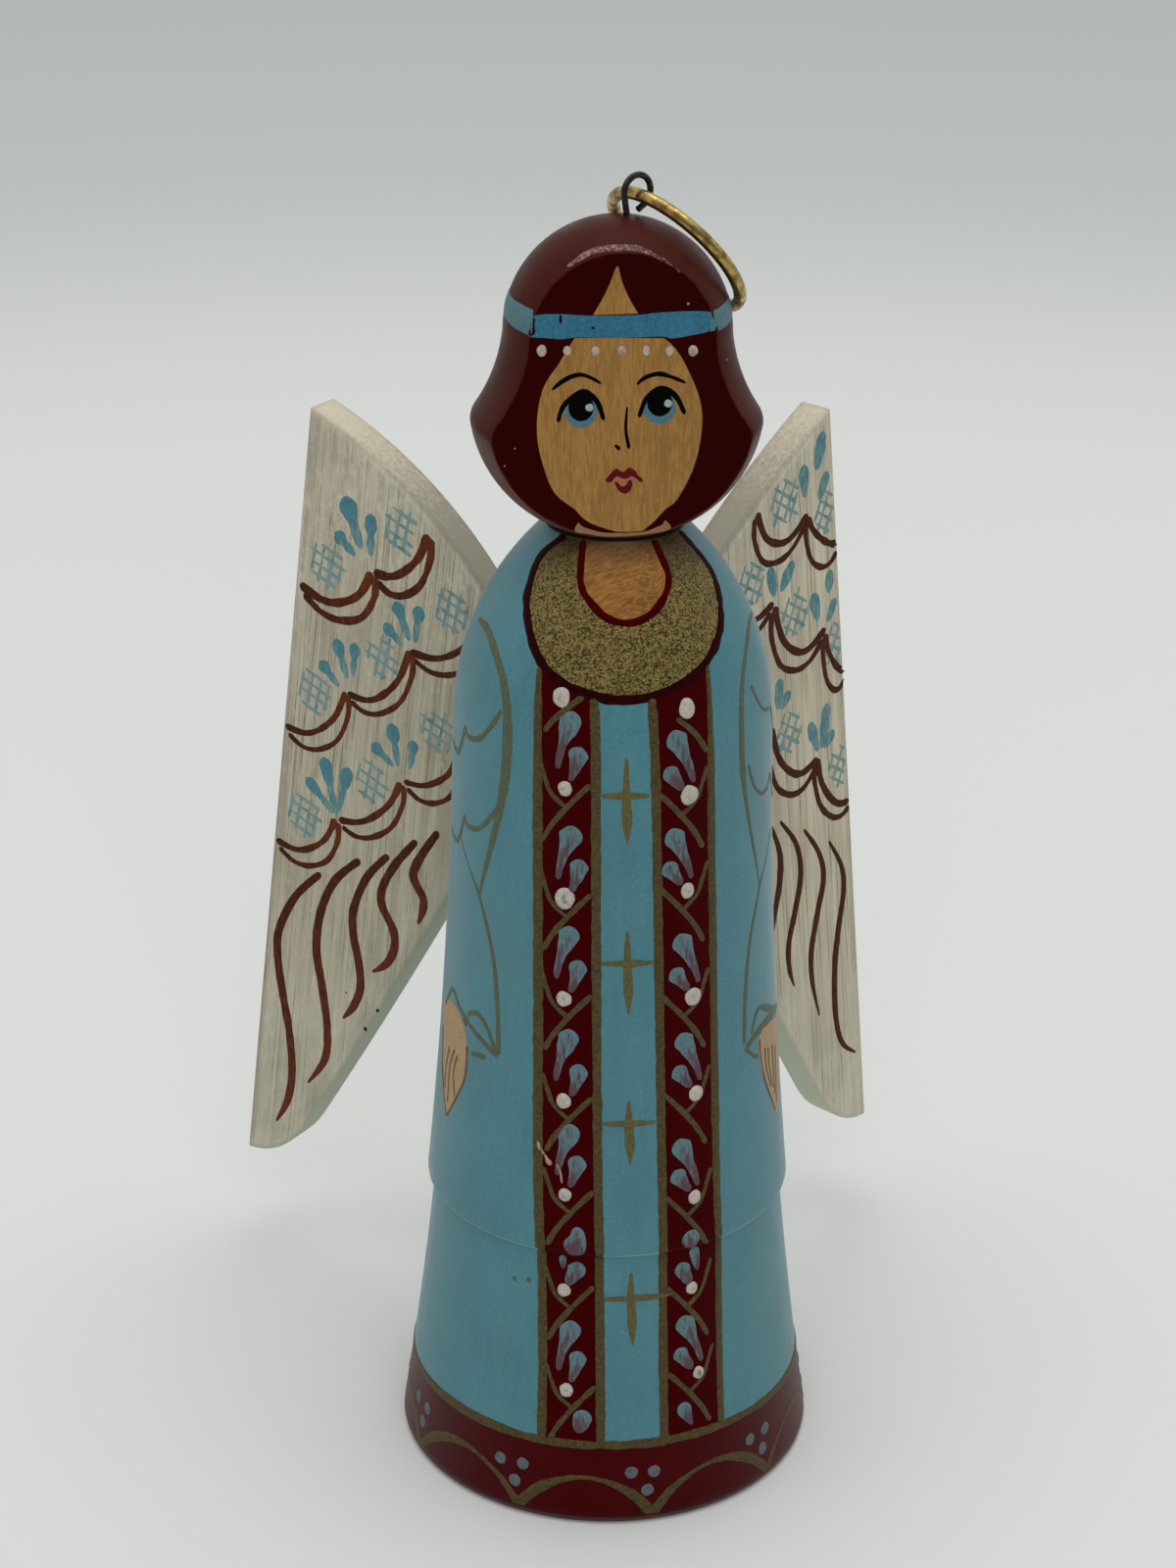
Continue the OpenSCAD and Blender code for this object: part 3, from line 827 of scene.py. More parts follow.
# Sleeves and cuffs in one thin line, and hands, as outward places and heights on each side
SEAM = [(17.4, 82, 0.4), (14.9, 82, 0.7), (13.1, 80.8, 0.8), (11.7, 78.6, 0.85), (11.2, 75.2, 1),
        (11.5, 70.4, 1), (12.6, 65.6, 0.7), (14.2, 60.6, 0.45), (14.8, 58.6, 0.35)]
SEAM_WIDTH = {-1: 1.2, 1: 0.85}
FOLD_WIDTH = {-1: 0.58, 1: 0.42}
FOREARM = [(18.3, 62.6, 0.35), (16.4, 60.4, 0.4), (14.8, 58.4, 0.7), (13.1, 54.2, 0.9), (12.4, 49.6, 1),
           (12.2, 44.4, 1)]
SEAM_SHIFT = {-1: 0.35, 1: -0.35}
SLEEVE = {
    -1: [
        [(17.85, 73.4), (17.35, 72.6), (15.35, 73), (13.55, 74.7), (12.25, 76.4)],
        [(22.15, 70.4), (19.55, 70.3), (17.85, 73.2)],
        [(17.85, 65.1), (17.35, 64.3), (15.35, 64.7), (13.55, 66.4), (12.25, 68.1)],
        [(22.15, 62.1), (19.55, 62), (17.85, 64.9)],
        [(16.65, 45.8), (14.15, 44.8), (12.65, 44.2)],
        [(16.95, 46.6), (15.35, 47.3), (13.95, 46.4), (12.85, 44.4)],
        [(22.15, 45.2), (20.15, 47.6), (18.35, 46.6), (16.55, 45.9)],
        [(16.25, 43.2), (14.15, 43.6)]],
    1: [
        [(16.9, 74.3), (15.2, 74.7), (14, 75.7), (12.6, 77.6)],
        [(21.6, 71.4), (19.2, 71.6), (17.4, 74.2)],
        [(17.4, 68.1), (16.2, 67.1), (14.6, 67.2), (13, 68.6), (12, 70.8)],
        [(21.5, 65), (19.2, 65.2), (17.5, 68)],
        [(11.95, 44.1), (13.6, 42.6), (14.3, 42.5)],
        [(12.2, 44, 1.4), (13.6, 44.6, 2), (15.6, 44.9, 2.4), (19.1, 44.6, 2.4), (22, 43.9, 1.6)],
        [(13, 44.9, 1.3), (13.6, 46.2, 1.3), (14.5, 46.9, 1.4), (16.5, 46, 1.8), (19.7, 44.4, 1.8)]]}
HANDS = {
    -1: [(22.95, 45.2), (19.75, 46.4), (17.75, 45.6), (16.75, 43.3), (17.05, 40.8), (18.35, 38.2),
         (20.65, 35.4), (21.75, 38.2), (22.65, 41.6)],
    1: [(20.6, 43.5), (19, 43.9), (16, 44.7), (14.7, 44.3), (14.2, 43.3), (14.8, 41), (16.3, 38.3),
        (18.3, 35), (20, 36.2), (20.9, 39.8)]}
FINGERS = {
    -1: [
        [(20.35, 42), (21.25, 39.4), (21.25, 37.6)],
        [(19.15, 42.3), (20.15, 40.2), (20.45, 36.6)],
        [(18.55, 42), (19.25, 40), (18.95, 37.8)],
        [(16.85, 43.6), (17.15, 40.6), (18.65, 37.9), (20.65, 35.2)],
        [(22.75, 43), (22.15, 38.6), (20.65, 35.2)]],
    1: [
        [(14.5, 43.9), (14.7, 42), (15.9, 38.9), (18.3, 35.2)],
        [(16.4, 42.3), (16.6, 40.5), (17.7, 37.75)],
        [(18.66, 41.4), (18.75, 39), (18.7, 35.8)],
        [(15.6, 42.6), (15.9, 40.6), (17, 38.2)],
        [(17.6, 42), (17.8, 39.8), (18.3, 36.8)]]}
# A dark smudge on the left cuff and two stray specks on the skirt, minus to the left
CUFF_SMUDGE = [(-17, 45.4, 0.7), (-17.5, 46.2, 1)]
SKIRT_SPECKS = [(-10.8, 22.9), (-9.3, 23.2)]
sleeves = Paint("sleeve_lines", gold_look("gold_sleeve", SLEEVE_GREEN, 6, 0.015, 0.2, 0.05))
hands = Paint("hands", stroke_look("skin_paint", SKIN, shade(SKIN, 0.84), 0.42))
fingers = Paint("hand_lines", stroke_look("finger_line", SKIN_LINE, shade(SKIN_LINE, 0.8)))
for side in (-1, 1):
    for line, width in ((SEAM, SEAM_WIDTH[side]), (FOREARM, 0.6)):
        line = [(side * (u + SEAM_SHIFT[side]), z, share) for u, z, share in line]
        sleeves.stroke(robe, line, width, 0.05, wobble=0.2)
    for line in SLEEVE[side]:
        sleeves.stroke(robe, [(side * p[0], *p[1:]) for p in line], FOLD_WIDTH[side], 0.05, wobble=0.3)
    hands.patch(robe, curve([(side * u, z) for u, z in HANDS[side]], 0.5, True))
    for line in FINGERS[side]:
        line = [(side * u, z, 0.6 if i else 0.9) for i, (u, z) in enumerate(line)]
        fingers.stroke(robe, line, 0.4, 0.04, lift=0.03)
fingers.stroke(robe, CUFF_SMUDGE, 0.8, 0.03, lift=0.03)
for u, z in SKIRT_SPECKS:
    sleeves.dot(robe, u, z, 0.28, 0.03, u)
for part in (sleeves, hands, fingers):
    part.done()

# Hem: burgundy coat, gold line, arches and groups of three dots round the foot
CUSPS = [-71, -31.5, 6, 45, 84, 124, 164, 207, 249]
ARCH_Z, ARCH_RISE = 0.95, 3.7
ARCH_STEPS = 8
# Each dot of a group: angle from the cusp in degrees, and height
HEM_DOTS = [(-6.2, 5), (0.9, 5.1), (-1.2, 3.3)]
Paint("hem_coat", hem_look()).belt(turned, 0.12, HEM_Z, rows=12).done()
hem_dots = Paint("hem_dots", stroke_look("hem_dot_paint", HEM_DOT, MAUVE, 0.36))
hem_line = [(a, HEM_Z + 0.12 * math.sin(math.radians(5 * a))) for a in range(0, 360, 12)]
lines.stroke(turned, hem_line, 0.76, 0.07, step=1.5, lift=0.02, wobble=0.25, closed=True)
for i, cusp in enumerate(CUSPS):
    after = CUSPS[i + 1] if i + 1 < len(CUSPS) else CUSPS[0] + 360
    arch = []
    for k in range(ARCH_STEPS + 1):
        t = k / ARCH_STEPS
        z = ARCH_Z + ARCH_RISE * math.sin(math.pi * t) ** 0.75
        arch.append((cusp + (after - cusp) * t, z, 0.8 + 0.35 * math.sin(7 * t + i)))
    lines.stroke(turned, arch, 0.92, step=1.2, lift=0.03, wobble=0.2)
    for k, (a, z) in enumerate(HEM_DOTS):
        jitter = noise.noise((i * 2.3, k * 1.9, 4.1))
        hem_dots.dot(turned, cusp + a + jitter, z + 0.25 * jitter, 0.66, 0.12, i + k)
hem_dots.done()
lines.done()

# Head: flat dull coat on the face plane, bare wood in it, and features in fine lines
FACE_MIDDLE = Vector((-0.3, 102))


def face_plane_rim(count=160, start=3, stride=0.1, inset=0.06):
    """Outline of the flat front of the head, found from its middle outwards."""
    _, flat = face.at(*FACE_MIDDLE)
    rim = []
    for i in range(count):
        angle = 2 * math.pi * i / count
        way = Vector((math.cos(angle), math.sin(angle)))
        reach = start
        while face.faces(*(FACE_MIDDLE + way * (reach + stride)), flat):
            reach += stride
        rim.append(FACE_MIDDLE + way * (reach - inset))
    return rim


OVAL = [(-4.3, 107.9), (-5.5, 105.9), (-6.9, 103.6), (-7.4, 100.65), (-7.1, 97.9), (-6, 94.8),
        (-4.2, 93.2), (-3.7, 92.6), (-2.9, 92), (-1.8, 91.55), (-0.5, 91.2), (1.4, 91.25), (1.8, 91.5),
        (2.5, 92.1), (3.4, 93.1), (4.4, 94), (5.75, 96.8), (6.35, 100), (6.2, 102.3), (5.35, 104.6),
        (4.2, 106.7), (3.1, 107.8)]
PARTING = [(-2.8, 109.8), (-2, 111.2), (-1.4, 112.5), (-0.83, 113.85), (-0.45, 112.6), (0.15, 111.2),
           (0.9, 109.9)]
CHIN_STRIP = [(-3.9, 92.05), (-4.2, 91.3), (-2.9, 91), (-1.8, 90.8), (0.4, 90.8), (2.9, 91.1),
              (3.9, 91.5), (3.4, 92.15), (3.2, 91.8), (2.35, 91.4), (1.7, 91.2), (0.4, 91.1),
              (-0.4, 91.1), (-1.8, 91.15), (-3.1, 91.5), (-3.7, 91.8)]
# Turn of the chin's grain in degrees
CHIN_GRAIN = (0, 90, 0)
flat_coat = paint("maroon_flat", MAROON, 0.55, 0.14, gloss=0.04, tint=(0.8, 0.1, 0.1))
Paint("face_coat", flat_coat, "painted_hair").patch(face, face_plane_rim(), 0.02, 0.9).done()
face_wood = Paint("face_wood", bare_wood, "bare_wood")
for rim in (OVAL, PARTING):
    face_wood.patch(face, curve(rim, 0.4), 0.04, 0.45)
face_wood.done()
chin_wood = wood("chin_wood", CHIN, shade(CHIN, 0.85), CHIN_GRAIN)
Paint("chin_strip", chin_wood, "bare_wood").patch(face, curve(CHIN_STRIP, 0.3, True), 0.04, 0.3).done()

PUPILS = {-1: (-3.74, 102), 1: (2.8, 102.34)}
IRISES = {-1: (-3.74, 101.7), 1: (2.78, 101.93)}
GLINTS = {-1: (-3.04, 102), 1: (3.5, 102.28)}
LIDS = {
    -1: [(-5.65, 100.76), (-5.41, 101.69), (-4.91, 102.46), (-3.67, 103.29), (-2.92, 102.99),
         (-2.3, 102.26), (-1.83, 100.88)],
    1: [(1.08, 101.1), (1.36, 101.96), (1.73, 102.72), (2.76, 103.48), (3.72, 103.21), (4.31, 102.61),
        (4.91, 101.32)]}
LID_SHARES = (0.9, 1, 1.25, 1.6, 1.5, 1.2, 0.95)
BROWS = {
    -1: [(-6.17, 103.5), (-5.55, 104.06), (-4.66, 104.6), (-3.77, 104.8), (-2.88, 104.5), (-2.06, 104)],
    1: [(0.86, 103.9), (1.57, 104.5), (2.68, 104.8), (3.8, 104.5), (4.97, 104)]}
NOSE = [(0.1, 102.05, 0.6), (0, 100.1, 0.9), (0.3, 98.4, 1)]
NOSTRIL = [(-0.95, 98.75, 0.6), (-0.64, 98.55, 1), (-0.5, 98.3, 0.8)]
UPPER_LIP = [(-1.65, 95.76), (-1.29, 96.23), (-0.91, 96.65), (-0.66, 96.69), (-0.18, 96.41),
             (0.17, 96.73), (0.4, 96.77), (0.78, 96.55), (1.09, 96.11), (1.43, 95.8), (1.4, 95.5),
             (1.17, 95.62), (0.86, 95.88), (0.51, 96.07), (0.24, 95.89), (-0.14, 95.83), (-0.39, 95.92),
             (-0.68, 96.07), (-0.91, 95.88), (-1.15, 95.59), (-1.48, 95.56)]
LOWER_LIP = [(-0.88, 95.52), (-0.64, 95.55), (-0.45, 95.31), (-0.16, 95.14), (0.09, 95.35), (0.24, 95.64),
             (0.41, 95.73), (0.59, 95.52), (0.54, 95.01), (0.28, 94.64), (-0.06, 94.54), (-0.49, 94.77),
             (-0.74, 95.13)]
MOUTH = [(-1.75, 95.7), (-0.95, 96.78), (-0.2, 96.6), (0.4, 96.9), (1.1, 96.25), (1.5, 95.65),
         (0.68, 95.6), (0.6, 94.95), (0.1, 94.48), (-0.5, 94.66), (-0.95, 95.4)]
ink = Paint("face_lines", black, "bare_wood")
iris = Paint("irises", stroke_look("iris_paint", IRIS, shade(IRIS, 0.8), 0.35), "bare_wood")
pupil = Paint("pupils", black, "bare_wood")
glint = Paint("eye_lights", paint("eye_light", EYE_LIGHT), "bare_wood")
lips = Paint("lips", paint("lip_paint", LIP_RED, 0.45, 0.15, gloss=0.1), "bare_wood")
mouth_paint = stroke_look("mouth_paint", WOOD, LIP_PINK, 0.52, streak=(2, 2, 2))
mouth = Paint("mouth_light", mouth_paint, "bare_wood")


def disc(centre, radius, tall, count=28):
    """Closed round line, as many times taller than wide as tall says."""
    turns = [2 * math.pi * i / count for i in range(count)]
    return [(centre[0] + radius * math.cos(a), centre[1] + radius * tall * math.sin(a)) for a in turns]


for side in (-1, 1):
    iris.patch(face, disc(IRISES[side], 1.36, 1.04), 0.055, 0.4)
    pupil.patch(face, disc(PUPILS[side], 1.05, 1.1), 0.07, 0.4)
    glint.dot(face, *GLINTS[side], 0.42, 0.12, side)
    lid = [(*p, share) for p, share in zip(LIDS[side], LID_SHARES)]
    ink.stroke(face, lid, 0.38, lift=0.05)
    count = len(BROWS[side]) - 1
    brow = [(*p, 0.6 + 0.5 * math.sin(math.pi * i / count)) for i, p in enumerate(BROWS[side])]
    ink.stroke(face, brow, 0.36, 0.04, lift=0.05, wobble=0.3)
for line, width in ((NOSE, 0.3), (NOSTRIL, 0.34)):
    ink.stroke(face, line, width, 0.04, lift=0.05)
for part, rim, height in ((lips, UPPER_LIP, 0.08), (lips, LOWER_LIP, 0.08), (mouth, MOUTH, 0.06)):
    part.patch(face, curve(rim, 0.2, True), height, 0.25)
for part in (iris, pupil, glint, ink, lips, mouth):
    part.done()

# Headband: across the face plane and, lighter, round the hair, with a row of white dots under it
HEADBAND = [(-7.54, 109.8), (-7.95, 109), (-8.05, 108.1), (-6.6, 107.92), (-5.3, 107.8), (-4.1, 107.95),
            (-0.56, 107.86), (2.9, 107.95), (3.7, 107.78), (5.4, 108.04), (6.97, 108.45), (6.98, 109.3),
            (6.82, 109.96), (4.75, 110.04), (2.4, 109.94), (0.85, 109.78), (-2.95, 109.75), (-5.5, 109.9)]
# Angle round from the front, height, and share of the width
HEADBAND_SIDE = [(49, 109.15, 1), (72, 109.25, 1), (120, 109.5, 1), (180, 109.6, 1), (230, 109.6, 1),
                 (272, 109.4, 1.1), (304, 109.2, 1.2)]
CRACKS = [
    [(-5.47, 109.85), (-5.45, 109.1)],
    [(-7.72, 109.35), (-7.6, 108.4)],
    [(-2.95, 108.75), (-2.6, 108.7)]]
headband = Paint("headband", paint("headband_paint", BAND_BLUE, 0.5, 0.26, 0.03, 0.15), "painted_hair")
headband.patch(face, curve(HEADBAND, 0.4, True), 0.05).done()
side_paint = stroke_look("headband_side_paint", BAND_SIDE, BAND_BLUE, 0.36, streak=(1, 1, 3))
band_side = Paint("headband_side", side_paint, "painted_hair")
band_side.stroke(hair, HEADBAND_SIDE, 1.75, 0.05, step=3, lift=0.02, blunt=True).done()
cracks = Paint("headband_cracks", flat_coat, "painted_hair")
for line in CRACKS:
    cracks.stroke(face, line, 0.24, 0.01, step=0.15, lift=0.05, wobble=0.5)
cracks.done()
# Dots on the brow: their places, and the height of the first
BROW_DOTS = (-7, -4.91, -2.56, -0.4, 1.65, 3.56, 5.5)
BROW_Z = 106.84
pale = shade(BROW_WHITE, 0.6)
brow_white = stroke_look("brow_white", BROW_WHITE, pale, 0.42, streak=(1, 1, 1), gloss=0.3)
beads = Paint("brow_dots", brow_white, "painted_hair")
for i, u in enumerate(BROW_DOTS):
    radius = 0.44 if u in (BROW_DOTS[0], BROW_DOTS[-1]) else 0.38
    beads.dot(face, u, BROW_Z - 0.02 * i, radius, 0.14, i * 1.3, 1.2)
beads.done()

# Painted highlight and wear of the hair: a flaky glint along the top rim of the face plane, and pin-point
# chips
RIM_GLINT_AND_WEAR = [(-4.9, 113.75, 0.4), (-2.95, 114.9, 1), (-1, 115.25, 1), (1.2, 115.1, 0.8),
            (3.4, 113.95, 0.4), (5.4, 112.1, 0.3), (7.1, 109, 0.25)]
HAIR_CHIPS = [(5.03, 110.67, 0.12), (-9.23, 98.55, 0.08), (-10.1, 97.05, 0.08)]
# A flaky stroke along the rim of the face plane: partly a painted highlight where the rim catches the
# light, partly worn paint.
hair_glint_and_wear = stroke_look("hair_glint_and_wear", HAIR_GLINT_AND_WEAR, HAIR, 0.5, 0.2, streak=(2.5, 2.5, 2.5), gloss=0.3)
glint_and_wear_rim = Paint("hair_glint_and_wear_rim", hair_glint_and_wear, "painted_hair")
glint_and_wear_rim.stroke(face, RIM_GLINT_AND_WEAR, 0.75, 0.015, lift=0.01, wobble=0.4).done()
hair_chips = Paint("hair_chips", paint("hair_chip", CHIP), "painted_hair")
for u, z, radius in HAIR_CHIPS:
    hair_chips.dot(face, u, z, radius, 0.05, z)
hair_chips.done()

# Wings: double scallops, fans of drops, cross-hatching and long feathers, as outward places and heights
# Each scallop: lower outer cusp, higher inner cusp, how deep its two lines hang, and how bold they are
SCALLOPS = {
    -1: [((34, 73.8), (25.4, 76.7), 1, 1, 1.3), ((25.2, 76.7), (18.8, 81.7), 0.78, 1, 1.3),
         ((36.3, 58.6), (28.8, 63.8), 0.95, 1.03, 0.95), ((28.6, 63.7), (21.1, 69.7), 1.05, 1.03, 1),
         ((21.1, 69.6), (12.6, 74.6), 0.85, 0.95, 1), ((37.9, 45.9), (30.4, 50), 0.88, 0.95, 1),
         ((30, 50), (22.4, 55.8), 0.75, 0.93, 1), ((22, 56), (15.8, 59.6), 0.55, 0.8, 1)],
    1: [((29.4, 80.3), (21.8, 82.2), 1.2, 1.12, 1.1), ((34.4, 76.1), (29.4, 80), 0.4, 0.9, 1.1),
        ((32.8, 67.7), (24.8, 72), 1.45, 1.3, 1.15), ((36.4, 62.2), (32.7, 67.1), 0.5, 0.95, 1.15),
        ((24.7, 72.4), (16.8, 75.5), 1, 1, 1.1), ((32.4, 53.9), (25, 59.3), 1.3, 1.32, 1.15),
        ((38.1, 47.7), (32.2, 53.9), 0.95, 1, 1.15), ((25, 59.3), (17, 62), 1, 1, 1.1)]}
# Places along a scallop's chord, how far below it the line runs, and the share of its width
UPPER_SAG = [(0, 0, 1.2), (0.3, 1.9, 0.9), (0.55, 2.5, 1), (0.82, 2, 0.95), (1, 0, 1.25)]
LOWER_SAG = [(0.05, 1, 1.1), (0.28, 3.1, 0.9), (0.55, 4.3, 1), (0.85, 4.35, 0.9), (1.03, 2.5, 1),
             (1.04, 0.5, 1.2)]
# Each drop of a fan: head, root and width
FANS = {
    -1: [((28.05, 82.85), (26.6, 78.8), 2.2), ((29.2, 79.6), (27.3, 78), 1.76),
         ((25.4, 81.75), (25.5, 78.3), 1.65), ((29.6, 68.4), (28.6, 65.2), 1.65),
         ((31.4, 66), (29.6, 64.2), 1.54), ((27.6, 68.5), (27.9, 65.6), 1.32),
         ((22.4, 73.7), (21.1, 70.7), 1.65), ((23.7, 71.5), (21.9, 70), 1.49),
         ((20, 73.75), (20.5, 70.6), 1.43), ((23.25, 61), (22.7, 57.4), 1.59),
         ((25.3, 58.8), (23.2, 57.3), 1.49), ((20.85, 60), (21.3, 57.5), 1.43),
         ((31.4, 55.3), (30.3, 50.5), 1.65), ((33.3, 53.1), (30.6, 50.6), 1.54),
         ((28.9, 55), (30, 50.9), 1.49)],
    1: [((31.05, 87.5), (30.4, 84.5), 1.79), ((28.5, 84.8), (28.9, 82.1), 1.5),
        ((31.9, 83.5), (31, 81.4), 1.33), ((24.1, 75.6), (24.8, 73), 1.5),
        ((27.1, 75.5), (25.7, 73.3), 1.5), ((33.1, 73.25), (33.1, 71.3), 1.4),
        ((30.8, 71.3), (31.6, 68.8), 1.5), ((33.9, 70.1), (33.1, 68.3), 1.29),
        ((26, 63.6), (25.9, 61), 1.45), ((27.4, 62.2), (26.3, 60.9), 1.29),
        ((33.4, 58.6), (33, 54.8), 1.5), ((31.2, 57.5), (32.4, 54.7), 1.45),
        ((34.5, 56), (33.4, 54.7), 1.29)]}
# Places along a drop from head to root, with the share of its width
DROP_SHAPE = {
    -1: [(-0.22, 0.6), (-0.1, 0.95), (0.08, 1), (0.24, 0.8), (0.38, 0.5), (0.56, 0.6), (0.8, 0.5),
         (1, 0.3)],
    1: [(-0.25, 0.5), (-0.12, 0.85), (0.1, 1), (0.35, 1), (0.6, 0.85), (0.85, 0.6), (1, 0.35)]}
# Cross-hatching: centres, half size of each oval, and the gap, number and leans of its lines
HATCHES = {
    -1: [(30.7, 76.5), (21.9, 81.4), (32.6, 63), (24.3, 68.3), (16.2, 74.7), (34.3, 49.6), (25.9, 55),
         (18.1, 62.1)],
    1: [(25.8, 82.5), (32.3, 79.9), (21.3, 75.3), (28, 70.5), (34.7, 65.7), (27.8, 58.1), (36.1, 52.1)]}
HATCH_HALF = (1.95, 2.3)
HATCH_GAP = 1.08
HATCH_LINES = 4
HATCH_MARGIN = 0.3
HATCH_SHORTEST = 0.8
HATCH_LEANS = {-1: (-0.25, 2.4), 1: (0.4, -1.6)}
# Long feathers from root to tip, their width, and its share at the root, the middle and the tip
FEATHERS = {
    -1: [
        [(32.4, 43.6), (35.6, 40.3), (37.8, 36.2), (38.2, 33.1), (37.7, 28.8), (37, 24.5), (36.8, 19.9),
         (37.5, 16.4), (39.1, 13.4)],
        [(27.5, 46.3), (30.6, 43.3), (32.5, 39.4), (33.2, 35.1), (32.6, 30.8), (32.1, 26.5), (32.5, 22.7),
         (34.8, 19.2)],
        [(24, 47.7), (26.7, 44.6), (28.4, 40.7), (28.5, 37.8), (27.9, 34.8), (27.8, 32.1), (28.7, 29.8),
         (30.1, 28)],
        [(20.6, 50.1), (23.2, 46.9), (24.8, 44), (24.9, 42), (23.6, 39.7), (23.5, 37.7), (24.5, 35.7),
         (26.3, 34.3)],
        [(18, 51.7), (19.9, 48.9), (21, 46.7), (20.8, 45.5), (19.9, 44.1), (20, 42.7), (20.6, 41.1)]],
    1: [
        [(34.7, 44.1), (36.9, 40.7), (37.5, 37.7), (36.9, 33.3), (36.6, 28.8), (37.1, 23.3), (38.4, 19.6),
         (40.8, 17.5)],
        [(30.6, 46.7), (33.1, 43.4), (34.1, 40.2), (33.3, 36.2), (32.6, 32.2), (33, 28.6), (34.4, 24.2)],
        [(26.8, 48.8), (29.5, 45.4), (30.4, 41.7), (29.7, 37.8), (28.9, 34.4), (29.2, 31.4),
         (30.1, 29.2)],
        [(25, 49.5), (26.9, 45.4), (27.1, 42), (26.5, 38.6), (26.2, 35.6)],
        [(19.6, 51), (21.2, 47.6), (21.6, 45), (21, 42.4)]]}
FEATHER_WIDTH = {-1: 0.98, 1: 0.9}
FEATHER_START = {-1: 0.85, 1: 0.45}
FEATHER_MIDDLE, FEATHER_END = 1.15, 0.3
# Upper end of the boards' outer edge, and how far out and down it runs from there
EDGE_TOP = (32.2, 91.3)
EDGE_RUN = (10.7, 82)
# Stray specks on the left wing, with their radius
SPECKS = [(25.7, 30.1, 0.2), (26.9, 27.4, 0.2), (29.6, 31.1, 0.1), (21.1, 49.2, 0.14)]
brown = {-1: stroke_look("brown_line", BROWN, RED_BROWN, 0.34, 0.3, gloss=0.05),
         1: stroke_look("brown_line.right", BROWN, RED_BROWN, 0.34, 0.06, gloss=0.05)}
teal = {-1: stroke_look("teal_drop", TEAL, TEAL_WASH, 0.3, 0.24),
        1: stroke_look("teal_drop.right", TEAL, TEAL_WASH, 0.42, 0.1)}
WASHED = "whitewashed_wood"
scallops = {side: Paint(f"{name}_scallops", brown[side], WASHED) for side, name in SIDES.items()}
fans = {side: Paint(f"{name}_fans", teal[side], WASHED) for side, name in SIDES.items()}
hatch_teal = stroke_look("teal_wash", TEAL, TEAL_WASH, 0.6, streak=(0.8, 0.8, 0.8))
hatches = Paint("wing_hatching", hatch_teal, WASHED)


def board_edge(z):
    """Reach of a wing's outer edge at a height."""
    return EDGE_TOP[0] + (EDGE_TOP[1] - z) * EDGE_RUN[0] / EDGE_RUN[1]


def along(a, b, t, below=0):
    """Place on the line from a to b, or below it."""
    return (a[0] + (b[0] - a[0]) * t, a[1] + (b[1] - a[1]) * t - below)


def hatch_line(centre, lean, offset):
    """Ends of one hatching line, near the oval round the centre and kept off the board's edge."""
    way = Vector((lean, -1)).normalized()
    base = Vector((-way.y, way.x)) * offset
    a, b, c = 0, 0, -1
    for k in (0, 1):
        a += (way[k] / HATCH_HALF[k]) ** 2
        b += 2 * way[k] * base[k] / HATCH_HALF[k] ** 2
        c += (base[k] / HATCH_HALF[k]) ** 2
    root = b * b - 4 * a * c
    if root <= 0.2:
        return None
    line = []
    for k in (-1, 1):
        reach = (-b + k * math.sqrt(root)) / (2 * a) + 0.9 * noise.noise((*centre, offset + k * 3.7))
        line.append(tuple(Vector(centre) + base + way * reach))
    for _ in range(12):
        line = [along(p, q, 0.15) if p[0] > board_edge(p[1]) - HATCH_MARGIN else p
                for p, q in (line, line[::-1])]
    return line if math.dist(*line) > HATCH_SHORTEST else None


for side, board in boards.items():
    for outer, inner, upper_depth, lower_depth, bold in SCALLOPS[side]:
        for sags, depth, width in ((UPPER_SAG, upper_depth, 0.76), (LOWER_SAG, lower_depth, 0.66)):
            line = [(*along(outer, inner, t, sag * depth), share) for t, sag, share in sags]
            scallops[side].stroke(board, line, width * bold, 0.05, wobble=0.25)
    for head, root, width in FANS[side]:
        line = [(*along(head, root, t), share) for t, share in DROP_SHAPE[side]]
        fans[side].stroke(board, line, width, 0.05, step=0.25, wobble=0.25)
    for centre in HATCHES[side]:
        for lean in HATCH_LEANS[side]:
            for k in range(HATCH_LINES):
                jitter = 0.3 * noise.noise((*centre, k * 1.3 + lean))
                line = hatch_line(centre, -lean, (k - (HATCH_LINES - 1) / 2) * HATCH_GAP + jitter)
                if line:
                    line = [(*line[0], 0.7), (*line[1], 1.1)]
                    hatches.stroke(board, line, 0.44, 0.02, step=0.4, wobble=0.6)
    for line in FEATHERS[side]:
        count = len(line) - 1
        start = FEATHER_START[side]
        swell = FEATHER_MIDDLE - start
        shares = [start + swell * math.sin(math.pi * i / count) for i in range(count)] + [FEATHER_END]
        line = [(*p, share) for p, share in zip(line, shares)]
        scallops[side].stroke(board, line, FEATHER_WIDTH[side], 0.05, step=0.4, wobble=0.12)
for u, z, radius in SPECKS:
    scallops[-1].dot(boards[-1], u, z, radius, 0.03, u, 1.5)
for part in (*scallops.values(), *fans.values(), hatches):
    part.done()

# Stage: pale floor that darkens away from the object, a painted pool of light around it
FLOOR_NEAR = srgb(211, 213, 210)
FLOOR_FAR = srgb(188, 193, 191)
FLOOR_SPAN = (300, 560)
FLOOR_RADIUS = 12
floor_mesh = bpy.data.meshes.new("floor")
sheet = bmesh.new()
bmesh.ops.create_circle(sheet, cap_ends=True, segments=96, radius=FLOOR_RADIUS)
sheet.to_mesh(floor_mesh)
sheet.free()
floor = put("floor", floor_mesh)
floor_look = Look("floor_paper", 0.75, 0.2)
length = floor_look.fed("ShaderNodeVectorMath", {0: floor_look.place()}, operation="LENGTH")
# Painted light: the floor is lighter near the object and darker far from it.
far = floor_look.span(length.outputs["Value"], *FLOOR_SPAN)
floor_look.set("Base Color", floor_look.mix(far, FLOOR_NEAR, FLOOR_FAR))
floor_mesh.materials.append(floor_look.material)

